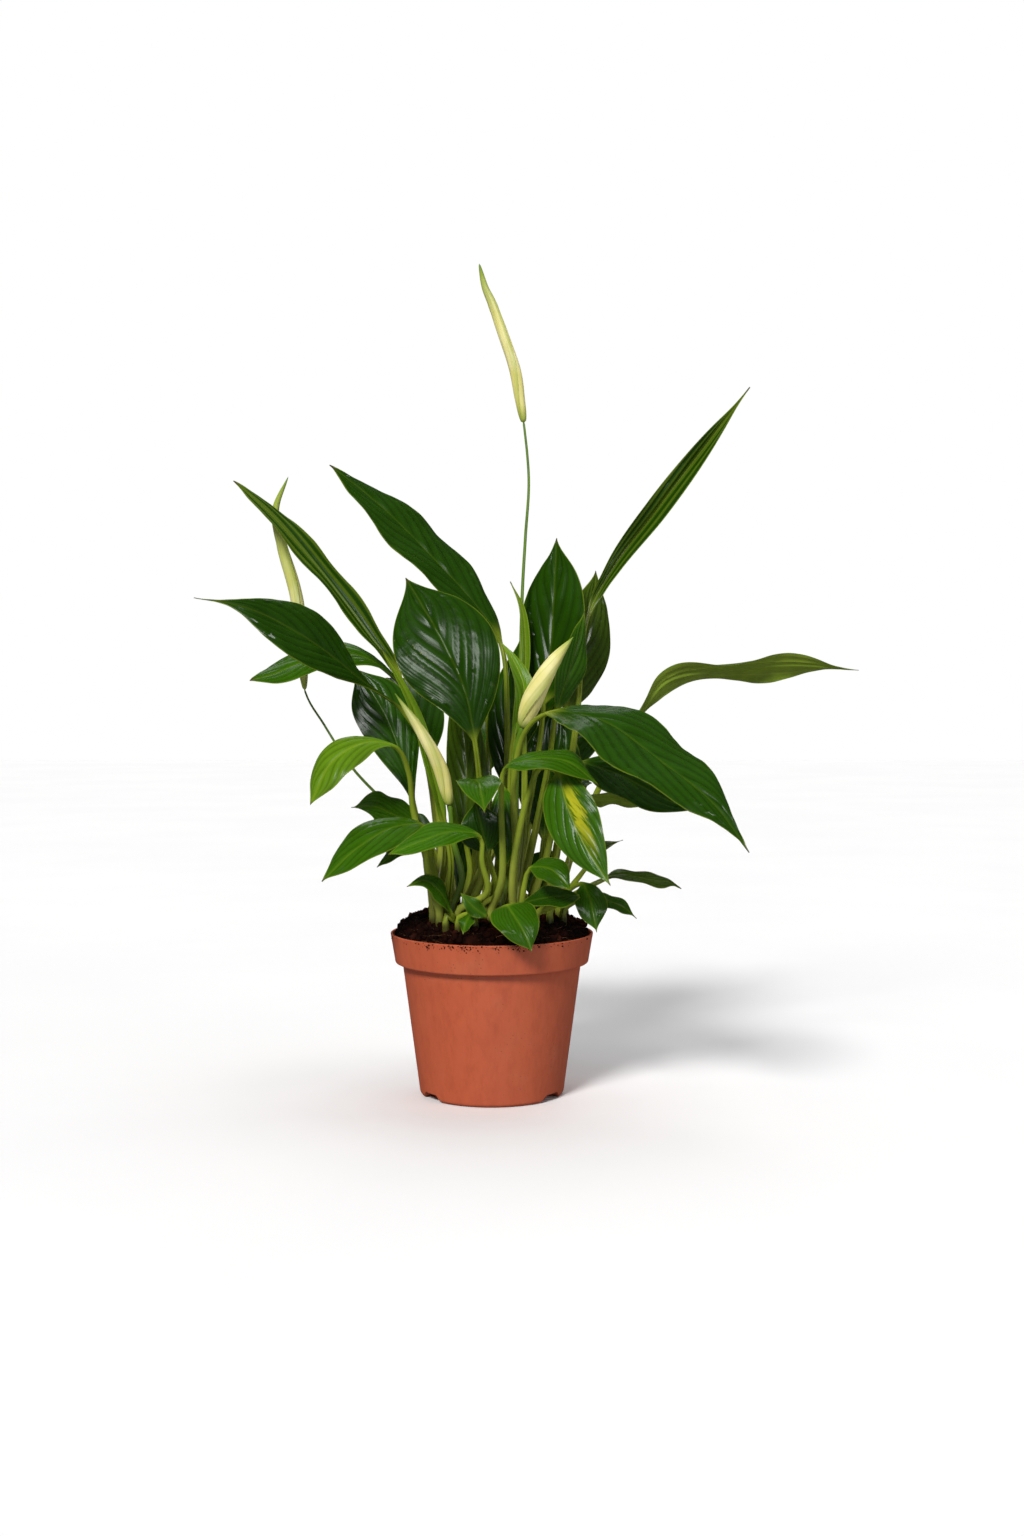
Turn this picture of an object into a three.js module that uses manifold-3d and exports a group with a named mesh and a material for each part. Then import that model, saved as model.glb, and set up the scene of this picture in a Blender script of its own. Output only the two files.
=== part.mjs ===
// A peace lily in its nursery pot.
//
// Millimetres, +Z up. The origin is the centre of the pot's underside, -Y is the plant's front
// and +X its right. Every leaf is one grown piece: a stalk that stands in a plain hole in the
// soil and widens into a folded, waved blade. A flower is a stalk with a closed spathe on it.

import * as THREE from "three";
import { mergeVertices } from "three/addons/utils/BufferGeometryUtils.js";
import Module from "manifold-3d";

const wasm = await Module();
wasm.setup();

// ---------------------------------------------------------------- driving dimensions

const POT = {
  height: 96,
  rimRadius: 60.5,
  lipHeight: 17.5,
  lipRadius: 57.4,
  bodyRadius: 53.2,
  footRadius: 43,
  corner: 2.5,
  edge: 0.8,
  wall: 1.5,
  floor: 2,
  sides: 42,
};

// The notches under the foot, each with a drain hole through its roof.
const NOTCH = {
  angles: [90, 214, 326],
  height: 4.2,
  mouthHalf: 10,
  roofHalf: 5.5,
  innerRadius: 31,
  wall: 2,
  drainRadius: 3,
  drainAt: 36.5,
  drainSides: 16,
};

const SOIL = {
  edge: 93,
  mound: 15,
  centre: [0, 12],
  span: 66,
  roundness: 0.5,
  shoulder: 16,
  crumb: 0.7,
  rings: [14, 28, 42, 53],
  sides: 30,
};

// The space between neighbouring pieces.
const GAP = 0.3;

// A stalk stands straight in its hole up to its neck. Its section's corners reach out to
// `corner` radii.
const ROOT = { depth: 14, collar: 3, neck: 8, corner: 1.08, holeSides: 6 };

const BLADE = {
  thickness: 0.8,
  tipRadius: 0.45,
  section: [-1, -0.5, 0, 0.5, 1],
  stalkStep: 38,
  bladeStep: 17,
  fewestBladeSteps: 6,
  rootedLength: 0.15,
};

// foldFade: how much of the fold is gone at the tip. marginLag: how far one margin's waves
// trail the other's. waveEnds: how slowly the waves rise from the base. stalkFlat: how flat the
// stalk's sides are. rib: the midrib's depth in stalk radii.
const LEAF_FORM = { foldFade: 0.4, marginLag: 1.7, waveEnds: 0.6, stalkFlat: 0.85, rib: 0.9 };

const ROUND_CORNERS = 8;
const SPATHE_STEPS = 9;
const CURVE_STEPS = 40;
const TANGENT_REACH = 0.4;
const MERGE_WITHIN = 1e-4;

const COLOURS = {
  pot: 0xbe5c3e,
  soil: 0x2a1a12,
  dark: 0x2c5a12,
  mid: 0x3d7316,
  light: 0x5d9420,
  olive: 0x56691c,
  stalk: 0x7d9a34,
  spathe: 0xe2e0a0,
};

const ROUGHNESS = { pot: 0.6, soil: 0.95, leaf: 0.35, flower: 0.5 };

// ---------------------------------------------------------------- the leaves and flowers
//
// root: where the stalk leaves the soil. stalk: points between the soil and the blade.
// blade: from its base to its tip. face: the way its upper side looks. fold: how far each half
// is raised, in degrees. curl: how far each half bends back down. wave: height of the margin's
// waves, their number and their phase in degrees. shape: how fast the blade widens and narrows.

const LEAF_DEFAULTS = {
  tone: "mid",
  stalk: [],
  fold: 14,
  curl: 24,
  wave: [1, 2, 0],
  shape: [1.0, 1.3],
  girth: [2.8, 1.4],
};

const LEAVES = [
  {
    name: "leaf_upper_left", tone: "dark", root: [-33, 10],
    stalk: [[-28, 10, 144], [-35, 12, 189]],
    blade: [[-55, 12, 247], [-74, 16, 273], [-104, 24, 312], [-137, 34, 349], [-159, 40, 369]],
    width: 22, face: [0.6, -0.6, 0.5], fold: 34, wave: [1.2, 3, 0], shape: [0.6, 0.65],
  },
  {
    name: "leaf_far_left", tone: "dark", root: [-34, -6],
    stalk: [[-30, -2, 145], [-37, -4, 199]],
    blade: [[-51, -12, 226], [-75, -30, 246], [-104, -50, 269], [-135, -66, 285], [-162, -76, 290]],
    width: 44, face: [0.3, -0.7, 0.6], fold: 18, wave: [1.5, 2, 60], shape: [4.2, 3.4],
  },
  {
    name: "leaf_left_back", tone: "dark", root: [-12, 20],
    stalk: [[5, 24, 155], [9, 26, 228]],
    blade: [[5, 28, 269], [-10, 32, 292], [-38, 38, 323], [-68, 44, 353], [-101, 50, 380]],
    width: 45, face: [0.6, -0.6, 0.5], fold: 16, wave: [1.8, 3, 0], shape: [0.9, 0.95],
  },
  {
    name: "leaf_broad_front", tone: "dark", root: [-15, -12],
    stalk: [[-2, -18, 146], [-6, -32, 182]],
    blade: [[-9, -42, 209], [-15, -45, 240], [-29, -42, 270], [-49, -32, 304]],
    width: 59, face: [0.2, -1, 0.1], fold: 12, wave: [1.2, 2, 0], shape: [1.35, 1.15],
  },
  {
    name: "leaf_centre_upright", tone: "dark", root: [9, 12],
    stalk: [[19, 14, 156], [28, 8, 204]],
    blade: [[31, 4, 232], [35, 4, 264], [37, 10, 294], [39, 22, 332]],
    width: 42, face: [-0.4, -0.9, 0], shape: [0.8, 1],
  },
  {
    name: "leaf_centre_right", root: [17, -1],
    stalk: [[26, 0, 157], [34, -8, 199]],
    blade: [[38, -14, 227], [44, -16, 246], [50, -14, 266], [55, -10, 286]],
    width: 26, face: [0.7, -0.6, -0.2], fold: 20,
  },
  {
    name: "leaf_right_back", tone: "olive", root: [24, 20],
    stalk: [[36, 26, 155], [44, 26, 198]],
    blade: [[45, 28, 227], [54, 32, 256], [61, 38, 286], [64, 44, 314]],
    width: 40, face: [0.6, -0.8, -0.1], shape: [0.8, 1],
  },
  {
    name: "leaf_upper_right", tone: "dark", root: [34, 14],
    stalk: [[41, 14, 156], [51, 14, 222]],
    blade: [[57, 16, 282], [73, 22, 314], [100, 32, 350], [132, 46, 392], [161, 62, 430]],
    width: 18, face: [0.15, -1, 0.2], fold: 50, curl: 4, wave: [1.2, 3, 40],
  },
  {
    name: "leaf_far_right", tone: "olive", root: [40, 4],
    stalk: [[49, 12, 145], [67, 16, 186]],
    blade: [[86, 12, 221], [104, 12, 245], [137, 10, 252], [178, 4, 255], [217, -4, 252]],
    width: 23, face: [-0.2, 0.6, 0.8], fold: 6, wave: [4, 2, 173], shape: [0.8, 0.8],
  },
  {
    name: "leaf_front_right", tone: "dark", root: [12, -23],
    stalk: [[14, -32, 147], [13, -37, 188], [19, -43, 215]],
    blade: [[31, -54, 226], [61, -72, 223], [91, -90, 202], [119, -104, 179], [138, -110, 153]],
    width: 56, face: [0.4, -0.6, 0.7], fold: 12, wave: [1.8, 3, 90], shape: [0.85, 1.2],
  },
  {
    name: "leaf_left_curled", tone: "light", root: [-34, -20],
    stalk: [[-38, -14, 140], [-46, -12, 169], [-48, -20, 191]],
    blade: [[-54, -30, 206], [-71, -38, 210], [-90, -46, 199], [-102, -52, 175]],
    width: 25, face: [-0.3, -0.8, 0.5], fold: 10, curl: 40, shape: [1.2, 0.9],
  },
  {
    name: "leaf_left_hanging", tone: "dark", root: [-34, 1],
    stalk: [[-33, 2, 139], [-43, 0, 157]],
    blade: [[-46, -2, 171], [-52, -4, 195], [-63, -3, 225], [-80, -2, 252]],
    width: 36, face: [0.3, -0.9, 0.1], shape: [1.5, 0.8],
  },
  {
    name: "leaf_left_tipped", root: [-26, 28],
    stalk: [[-32, 26, 143], [-39, 24, 192]],
    blade: [[-53, 24, 240], [-80, 24, 261], [-112, 20, 258], [-131, 12, 250], [-145, 8, 246]],
    width: 34, face: [0.1, -0.5, 0.9], wave: [1.5, 2, 0], shape: [1.3, 0.7],
  },
  {
    name: "leaf_low_left_small", root: [-34, -13],
    stalk: [[-36, -5, 130], [-38, -2, 152]],
    blade: [[-42, -4, 160], [-56, -12, 166], [-68, -20, 172], [-81, -26, 172]],
    width: 27, face: [0.2, -0.8, 0.6], wave: [2, 2, 200],
  },
  {
    name: "leaf_low_left", root: [-30, -27],
    stalk: [[-36, -31, 130], [-38, -33, 147]],
    blade: [[-38, -36, 161], [-55, -46, 162], [-76, -58, 150], [-94, -66, 133]],
    width: 32, face: [-0.3, -0.6, 0.7], fold: 10, shape: [0.8, 1],
  },
  {
    name: "leaf_low_left_under", root: [-27, -13],
    stalk: [[-32, -18, 129], [-36, -22, 142]],
    blade: [[-38, -22, 151], [-52, -28, 148], [-66, -34, 138]],
    width: 18, face: [-0.4, -0.5, 0.8],
  },
  {
    name: "leaf_low_left_light", root: [-19, -29],
    stalk: [[-2, -40, 124], [-5, -46, 142]],
    blade: [[-6, -48, 156], [-22, -55, 160], [-39, -62, 155], [-57, -66, 148]],
    width: 21, face: [-0.1, -0.6, 0.8], shape: [0.8, 0.9],
  },
  {
    name: "leaf_front_arching", root: [0, -31],
    stalk: [[6, -40, 131], [6, -48, 177]],
    blade: [[8, -52, 195], [23, -60, 201], [42, -68, 200], [60, -72, 187]],
    width: 26, face: [0.1, -0.5, 0.9], fold: 10, shape: [0.8, 1],
  },
  {
    name: "leaf_front_streaked", tone: "light", root: [13, -32],
    stalk: [[12, -38, 128], [15, -44, 154], [22, -50, 183], [28, -56, 196]],
    blade: [[37, -62, 194], [42, -70, 177], [51, -76, 156], [66, -80, 132]],
    width: 30, face: [-0.1, -1, -0.1], fold: 10, shape: [0.7, 1.1],
  },
  {
    name: "leaf_toward_front", root: [-12, -21],
    stalk: [[-6, -26, 130], [-8, -29, 171]],
    blade: [[-10, -38, 187], [-7, -55, 188], [-5, -70, 182], [-3, -78, 172]],
    width: 26, face: [0, -0.4, 1], curl: 10,
  },
  {
    name: "leaf_centre_hanging", root: [1, -10],
    stalk: [[4, -10, 140], [4, -16, 175]],
    blade: [[6, -20, 184], [7, -25, 173], [7, -26, 153], [7, -26, 132]],
    width: 18, face: [0, -1, 0],
  },
  {
    name: "leaf_centre_low", tone: "dark", root: [-4, -19],
    stalk: [[3, -28, 121]],
    blade: [[-2, -35, 146], [-6, -39, 163], [-9, -39, 177]],
    width: 27, face: [0.2, -1, 0],
  },
  {
    name: "leaf_right_olive", tone: "olive", root: [30, -7],
    stalk: [[38, -8, 145], [42, -6, 166]],
    blade: [[50, -10, 175], [63, -11, 176], [77, -9, 174], [90, -6, 171]],
    width: 28, face: [0.1, 0.3, 0.9], wave: [1.5, 2, 0],
  },
  {
    name: "leaf_right_shaded", tone: "dark", root: [23, -15],
    stalk: [[33, -16, 146], [40, -16, 181]],
    blade: [[50, -16, 196], [74, -26, 191], [99, -36, 178], [121, -44, 170]],
    width: 40, face: [0.3, -0.6, 0.7],
  },
  {
    name: "leaf_olive_upright", tone: "olive", root: [-16, 6],
    stalk: [[-13, 6, 132]],
    blade: [[-16, 8, 152], [-15, 12, 187], [-18, 18, 226], [-24, 26, 262]],
    width: 28, face: [-0.3, -0.9, -0.1], shape: [0.6, 1.3],
  },
  {
    name: "leaf_young_centre", tone: "light", root: [7, -4],
    stalk: [[11, -8, 145], [11, -12, 187]],
    blade: [[13, -13, 213], [19, -13, 240], [13, -11, 257], [5, -9, 269]],
    width: 12, face: [0.3, -0.9, 0], fold: 30, wave: [0.5, 2, 0],
  },
  {
    name: "leaf_centre_shadow", tone: "dark", root: [0, 28],
    stalk: [[6, 32, 145]],
    blade: [[9, 34, 178], [12, 36, 215], [14, 38, 248], [18, 40, 275]],
    width: 32, face: [-0.2, -1, 0],
  },
  {
    name: "leaf_inner_right", tone: "dark", root: [25, 7],
    stalk: [[29, 12, 132]],
    blade: [[31, 16, 150], [34, 20, 180], [37, 22, 208], [39, 26, 236]],
    width: 40, face: [0.1, -1, 0.1],
  },
  {
    name: "leaf_rolled_left", tone: "light", root: [-26, -3],
    stalk: [[-24, -10, 139]],
    blade: [[-28, -14, 162], [-35, -19, 192], [-46, -24, 231], [-63, -28, 263]],
    width: 9, face: [0.5, -0.9, 0.2], fold: 40, wave: [0.3, 2, 0], shape: [0.5, 1],
  },
  {
    name: "leaf_soil_left", root: [-26, -35],
    stalk: [[-20, -32, 106]],
    blade: [[-23, -36, 111], [-29, -40, 124], [-38, -43, 131], [-48, -45, 128]],
    width: 16, face: [0.3, -0.6, 0.7],
  },
  {
    name: "leaf_soil_left_pale", root: [-19, -40],
    blade: [[-12, -42, 112], [-14, -46, 108], [-16, -48, 101]],
    width: 10, face: [-0.5, -0.9, 0.2],
  },
  {
    name: "leaf_soil_left_oval", root: [-9, -40],
    blade: [[-3, -46, 111], [-10, -50, 117], [-17, -52, 125]],
    width: 10, face: [0.2, -0.9, 0.2],
  },
  {
    name: "leaf_soil_front", root: [7, -42],
    blade: [[9, -56, 118], [14, -64, 112], [19, -68, 104], [23, -69, 94]],
    width: 28, face: [0.4, -0.9, 0.3], shape: [0.45, 1],
  },
  {
    name: "leaf_soil_right_drooping", root: [34, -22],
    blade: [[52, -22, 127], [57, -28, 119], [59, -32, 110], [61, -33, 100]],
    width: 20, face: [0.3, -0.9, 0.1],
  },
  {
    name: "leaf_soil_right_low", root: [42, -14],
    blade: [[59, -8, 118], [70, -8, 115], [79, -8, 111], [86, -8, 105]],
    width: 12, face: [0.3, -0.6, 0.7],
  },
  {
    name: "leaf_soil_right_long", tone: "olive", root: [44, 13],
    blade: [
      [68, 14, 126], [77, 15, 129], [89, 16, 127], [98, 17, 125], [107, 18, 124],
      [115, 18, 120],
    ],
    width: 20, face: [0.1, -0.3, 0.9], shape: [0.9, 0.8],
  },
  {
    name: "leaf_soil_centre", root: [17, -41],
    stalk: [[19, -46, 129]],
    blade: [[22, -48, 138], [33, -54, 139], [46, -58, 127]],
    width: 20, face: [0.3, -0.8, 0.6],
  },
  {
    name: "leaf_soil_right_dark", tone: "dark", root: [26, -32],
    blade: [[50, -36, 121], [34, -46, 122], [16, -52, 119]],
    width: 19, face: [-0.1, -0.6, 0.8],
  },
  {
    name: "leaf_soil_right_dry", tone: "olive", root: [40, -4],
    blade: [[55, -2, 133], [62, -2, 143], [66, -2, 147], [78, -2, 151]],
    width: 9, face: [-0.2, -0.9, 0.3], shape: [0.8, 1.8],
  },
  {
    name: "leaf_tall_bract", tone: "light", root: [14, -9],
    stalk: [[19, -4, 160]],
    blade: [[19, -1, 235], [20, 0, 264], [18, 0, 288], [11, -1, 304]],
    width: 6, face: [0, -1, 0], fold: 40, wave: [0.2, 2, 0],
  },
  {
    name: "leaf_back_tall", tone: "dark", root: [-4, 36],
    stalk: [[-2, 42, 170]],
    blade: [[-4, 54, 230], [-10, 74, 275], [-18, 100, 308], [-26, 128, 322]],
    width: 44, face: [0, 0.6, 0.8],
  },
  {
    name: "leaf_back_right", tone: "dark", root: [14, 35],
    stalk: [[24, 46, 165]],
    blade: [[30, 58, 220], [38, 84, 256], [46, 116, 280], [50, 146, 284]],
    width: 42, face: [0, 0.5, 0.8],
  },
  {
    name: "leaf_back_left", tone: "dark", root: [-24, 36],
    stalk: [[-32, 46, 155]],
    blade: [[-38, 58, 200], [-52, 88, 232], [-62, 120, 248], [-70, 150, 246]],
    width: 40, face: [-0.1, 0.4, 0.9],
  },
  {
    name: "leaf_back_low_left", root: [-32, 36],
    stalk: [[-38, 50, 132]],
    blade: [[-42, 62, 148], [-56, 82, 158], [-70, 104, 156], [-80, 120, 146]],
    width: 30, face: [-0.2, 0.2, 1],
  },
  {
    name: "leaf_back_low_right", root: [26, 36],
    stalk: [[32, 52, 140]],
    blade: [[38, 62, 164], [46, 84, 180], [55, 106, 182], [62, 124, 174]],
    width: 30, face: [0.2, 0.2, 1],
  },
  {
    name: "leaf_back_low", root: [8, 45],
    stalk: [[14, 58, 132]],
    blade: [[18, 66, 148], [22, 92, 160], [27, 118, 160], [30, 142, 148]],
    width: 32, face: [0, 0.2, 1],
  },
  {
    name: "leaf_back_mid", tone: "dark", root: [-13, 43],
    stalk: [[-10, 56, 150]],
    blade: [[-8, 64, 184], [-4, 92, 212], [-2, 122, 222], [0, 150, 214]],
    width: 38, face: [0, 0.3, 1],
  },
  {
    name: "leaf_back_mid_right", tone: "dark", root: [34, 26],
    stalk: [[42, 42, 150]],
    blade: [[46, 54, 184], [54, 84, 214], [61, 114, 228], [66, 140, 224]],
    width: 36, face: [0.1, 0.4, 0.9],
  },
  {
    name: "leaf_soil_back_left", tone: "dark", root: [-22, 46],
    blade: [[-22, 59, 110], [-18, 66, 132], [-9, 74, 156]],
    width: 30, face: [0, -1, 0.2],
  },
  {
    name: "leaf_soil_back_right", tone: "dark", root: [20, 47],
    blade: [[25, 60, 110], [30, 66, 124], [37, 72, 141]],
    width: 30, face: [0, -1, 0.2],
  },
];

// stalk: from the soil to the spathe's base, its last point. spathe: from its base to its tip.

const FLOWERS = [
  {
    name: "flower_tall", root: [4, 4], girth: [1.5, 0.65],
    stalk: [[19, 4, 144], [17, 4, 222], [18, 6, 294], [20, 8, 331], [22, 9, 365], [19, 10, 399]],
    spathe: [
      [19, 10, 399], [17, 10, 412], [14, 10, 430], [7, 10, 451], [0, 10, 470], [-4, 10, 479],
      [-7.5, 10, 493],
    ],
    width: 7.4, shape: [0.35, 0.6],
  },
  {
    name: "flower_right", root: [5, -16], girth: [2.4, 1.8],
    stalk: [[13, -16, 141], [14, -22, 182], [15, -28, 206], [18, -32, 218]],
    spathe: [[18, -32, 218], [25, -35, 236], [36, -38, 256], [47, -40, 270]],
    width: 13, shape: [0.5, 1],
  },
  {
    name: "flower_left", root: [-23, -21], girth: [2.2, 1.4],
    stalk: [[-17, -24, 129], [-22, -26, 153], [-24, -28, 173]],
    spathe: [[-24, -28, 173], [-29, -30, 194], [-39, -34, 214], [-55, -38, 238]],
    width: 9, shape: [0.45, 1],
  },
  {
    name: "flower_far_left", root: [-32, 22], girth: [1.3, 0.55],
    stalk: [[-36, 26, 136], [-62, 31, 167], [-86, 36, 192], [-104, 39, 219], [-116, 41, 240]],
    spathe: [[-116, 41, 240], [-121, 46, 296], [-131, 50, 331], [-135, 52, 352], [-127, 52, 373]],
    width: 9, shape: [0.5, 0.8],
  },
];

// ---------------------------------------------------------------- geometry helpers

function radians(degrees) {
  return degrees * Math.PI / 180;
}

function clamp01(value) {
  return Math.min(1, Math.max(0, value));
}

// Rises from 0 to 1 with level ends.
function ease(value) {
  const t = clamp01(value);
  return t * t * (3 - 2 * t);
}

// Only the positions, with shared corners merged.
function plain(geometry) {
  const copy = geometry.clone();
  copy.deleteAttribute("normal");
  copy.deleteAttribute("uv");
  return mergeVertices(copy, MERGE_WITHIN);
}

function toSolid(geometry) {
  const merged = plain(geometry);
  const vertProperties = new Float32Array(merged.attributes.position.array);
  const triVerts = new Uint32Array(merged.index.array);
  return new wasm.Manifold(new wasm.Mesh({ numProp: 3, vertProperties, triVerts }));
}

function toGeometry(solid) {
  const mesh = solid.getMesh();
  const geometry = new THREE.BufferGeometry();
  geometry.setAttribute("position", new THREE.BufferAttribute(mesh.vertProperties, 3));
  geometry.setIndex(new THREE.BufferAttribute(mesh.triVerts, 1));
  return geometry;
}

function lathe(profile, sides) {
  const points = profile.map(([radius, z]) => new THREE.Vector2(radius, z));
  return new THREE.LatheGeometry(points, sides).rotateX(Math.PI / 2);
}

// A smooth centre line through its points, read by the distance along it.
function centreLine(points) {
  const knots = points.map((point) => new THREE.Vector3(...point));
  const curve = new THREE.CatmullRomCurve3(knots, false, "centripetal");
  const steps = CURVE_STEPS * (knots.length - 1);
  const samples = [curve.getPoint(0)];
  const lengths = [0];
  for (let i = 1; i <= steps; i += 1) {
    samples.push(curve.getPoint(i / steps));
    lengths.push(lengths[i - 1] + samples[i].distanceTo(samples[i - 1]));
  }
  const length = lengths[steps];
  const at = (distance) => {
    const s = Math.min(length, Math.max(0, distance));
    const next = Math.max(1, lengths.findIndex((value) => value >= s));
    const share = (s - lengths[next - 1]) / (lengths[next] - lengths[next - 1]);
    return samples[next - 1].clone().lerp(samples[next], share);
  };
  const along = (s) => at(s + TANGENT_REACH).sub(at(s - TANGENT_REACH)).normalize();
  const lengthTo = (index) => lengths[index * CURVE_STEPS];
  return { at, along, lengthTo, length };
}

// A closed skin over rings of equal size. Each ring is its upper row and then its lower row
// back again, and both faces are split into triangles alike.
function skin(rings) {
  const size = rings[0].length;
  const half = size / 2;
  const index = [];
  for (let i = 0; i + 1 < rings.length; i += 1) {
    for (let j = 0; j < size; j += 1) {
      const k = (j + 1) % size;
      const [a, b] = [i * size + j, i * size + k];
      const [c, d] = [b + size, a + size];
      const mirrored = j >= half;
      index.push(...(mirrored ? [a, d, b, b, d, c] : [a, c, b, a, d, c]));
    }
  }
  const last = (rings.length - 1) * size;
  for (let j = 0; j + 1 < half; j += 1) {
    const [a, b, c, d] = [j, j + 1, size - 2 - j, size - 1 - j];
    index.push(a, c, d, a, b, c);
    index.push(last + a, last + c, last + b, last + a, last + d, last + c);
  }
  const positions = rings.flat().flatMap((point) => point.toArray());
  const geometry = new THREE.BufferGeometry();
  geometry.setAttribute("position", new THREE.Float32BufferAttribute(positions, 3));
  geometry.setIndex(index);
  return geometry;
}

// ---------------------------------------------------------------- pot

// The trapezium channel that lets water out under the pot's edge, grown by a margin.
function channel(margin, from, to) {
  const { mouthHalf, roofHalf, height } = NOTCH;
  const slope = (mouthHalf - roofHalf) / height;
  const top = height + margin;
  const side = margin * Math.hypot(1, slope);
  const low = -1;
  const shape = new THREE.Shape([
    new THREE.Vector2(-(mouthHalf + side - slope * low), low),
    new THREE.Vector2(mouthHalf + side - slope * low, low),
    new THREE.Vector2(mouthHalf + side - slope * top, top),
    new THREE.Vector2(-(mouthHalf + side - slope * top), top),
  ]);
  const bar = new THREE.ExtrudeGeometry(shape, { depth: to - from, bevelEnabled: false });
  return bar.rotateX(Math.PI / 2).translate(0, to, 0);
}

function turned(geometry, angle) {
  return toSolid(geometry.clone().rotateZ(radians(angle - 90)));
}

// Where the lip steps out from the body.
const STEP = POT.height - POT.lipHeight;

// The top of the ledge that the step makes inside the pot.
const LEDGE = STEP + POT.wall + POT.edge / 2;

// The radius of the pot's inner face at a height.
function insideRadius(z) {
  const { lipHeight, rimRadius, lipRadius, bodyRadius, footRadius, wall } = POT;
  if (z > STEP) {
    return lipRadius + (rimRadius - lipRadius) * (z - STEP) / lipHeight - wall;
  }
  return footRadius + (bodyRadius - footRadius) * z / STEP - wall;
}

function potGeometry() {
  const { height, rimRadius, lipRadius, bodyRadius, footRadius, corner, edge, wall } = POT;
  const outside = [
    [0, 0],
    [footRadius - corner, 0],
    [footRadius - corner * 0.3, corner * 0.3],
    [footRadius, corner],
    [bodyRadius, STEP + edge],
  ];
  const profile = [
    ...outside,
    [lipRadius - edge, STEP],
    [lipRadius, STEP + edge],
    [rimRadius, height - edge],
    [rimRadius - edge, height],
    [rimRadius - wall, height],
    [insideRadius(LEDGE), LEDGE],
    [insideRadius(STEP), LEDGE - edge],
    [insideRadius(POT.floor), POT.floor],
    [0, POT.floor],
  ];
  const { angles, innerRadius, drainRadius, drainAt, drainSides } = NOTCH;
  const filled = toSolid(lathe([...outside, [0, STEP + edge]], POT.sides));
  let pot = toSolid(lathe(profile, POT.sides));
  for (const angle of angles) {
    const roof = turned(channel(NOTCH.wall, innerRadius - NOTCH.wall, rimRadius), angle);
    pot = pot.add(roof.intersect(filled));
  }
  const drain = new THREE.CylinderGeometry(drainRadius, drainRadius, STEP, drainSides);
  drain.rotateX(Math.PI / 2).translate(0, drainAt, 0);
  for (const angle of angles) {
    pot = pot.subtract(turned(channel(0, innerRadius, rimRadius), angle));
    pot = pot.subtract(turned(drain, angle));
  }
  return toGeometry(pot);
}

// ---------------------------------------------------------------- soil

// A round mound that falls to the edge height at the wall.
function moundHeight(x, y) {
  const { edge, mound, centre, span, roundness, shoulder } = SOIL;
  const away = ((x - centre[0]) ** 2 + (y - centre[1]) ** 2) / span ** 2;
  const fall = 1 - Math.min(1, Math.hypot(x, y) / insideRadius(edge)) ** shoulder;
  return edge + mound * fall * Math.max(0, 1 - away) ** roundness;
}

function crumbHeight(x, y) {
  const broad = Math.sin(0.31 * x + 0.4) * Math.cos(0.27 * y);
  const small = Math.sin(0.53 * y - 0.36 * x);
  return SOIL.crumb * (broad + 0.6 * small);
}

function soilGeometry(roots) {
  const floor = POT.floor + GAP;
  const top = 2 * POT.height;
  const profile = [
    [0, floor],
    [insideRadius(floor) - GAP, floor],
    [insideRadius(STEP) - GAP, LEDGE],
    [insideRadius(LEDGE) - 2 * GAP, LEDGE + GAP],
    [insideRadius(SOIL.edge) - GAP, top],
    ...SOIL.rings.toReversed().map((radius) => [radius, top]),
    [0, top],
  ];
  const body = plain(lathe(profile, SOIL.sides));
  const position = body.attributes.position;
  for (let i = 0; i < position.count; i += 1) {
    if (position.getZ(i) > POT.height) {
      const [x, y] = [position.getX(i), position.getY(i)];
      position.setZ(i, moundHeight(x, y) + crumbHeight(x, y));
    }
  }
  let soil = toSolid(body);
  const { angles, innerRadius, wall } = NOTCH;
  for (const angle of angles) {
    const roof = channel(wall + GAP, innerRadius - wall - GAP, POT.rimRadius);
    soil = soil.subtract(turned(roof, angle));
  }
  for (const { root, radius } of roots) {
    const floorOfHole = moundHeight(...root) - ROOT.depth - GAP;
    const around = (ROOT.corner * radius + GAP) / Math.cos(Math.PI / ROOT.holeSides);
    const hole = new THREE.CylinderGeometry(around, around, POT.height, ROOT.holeSides);
    hole.rotateX(Math.PI / 2).translate(...root, floorOfHole + POT.height / 2);
    soil = soil.subtract(toSolid(hole));
  }
  return toGeometry(soil);
}

// ---------------------------------------------------------------- leaves

// The straight stretch in the soil, which the rest of a stalk grows from.
function rootPoints([x, y]) {
  const z = moundHeight(x, y);
  return [[x, y, z - ROOT.depth], [x, y, z + ROOT.collar], [x, y, z + ROOT.neck]];
}

// 0 at the base and the tip and 1 at the widest place between them.
function outline(t, [widen, narrow]) {
  const widest = widen / (widen + narrow);
  return (t / widest) ** widen * ((1 - t) / (1 - widest)) ** narrow;
}

// The distances along a leaf at which it has a ring, with t from -1 at the root to 0 at the
// blade's base and 1 at its tip.
function stations(line, base) {
  const collar = line.lengthTo(1);
  const stalkEnd = line.lengthTo(base);
  const stalkSteps = Math.max(1, Math.round((stalkEnd - collar) / BLADE.stalkStep));
  const bladeLength = line.length - stalkEnd;
  const bladeSteps = Math.max(BLADE.fewestBladeSteps, Math.round(bladeLength / BLADE.bladeStep));
  const list = [{ s: 0, t: -1 }];
  for (let i = 0; i < stalkSteps; i += 1) {
    const s = collar + (stalkEnd - collar) * i / stalkSteps;
    list.push({ s, t: s / stalkEnd - 1 });
  }
  for (let i = 0; i <= bladeSteps; i += 1) {
    const t = i / bladeSteps;
    list.push({ s: stalkEnd + bladeLength * t, t });
  }
  return list;
}

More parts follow.
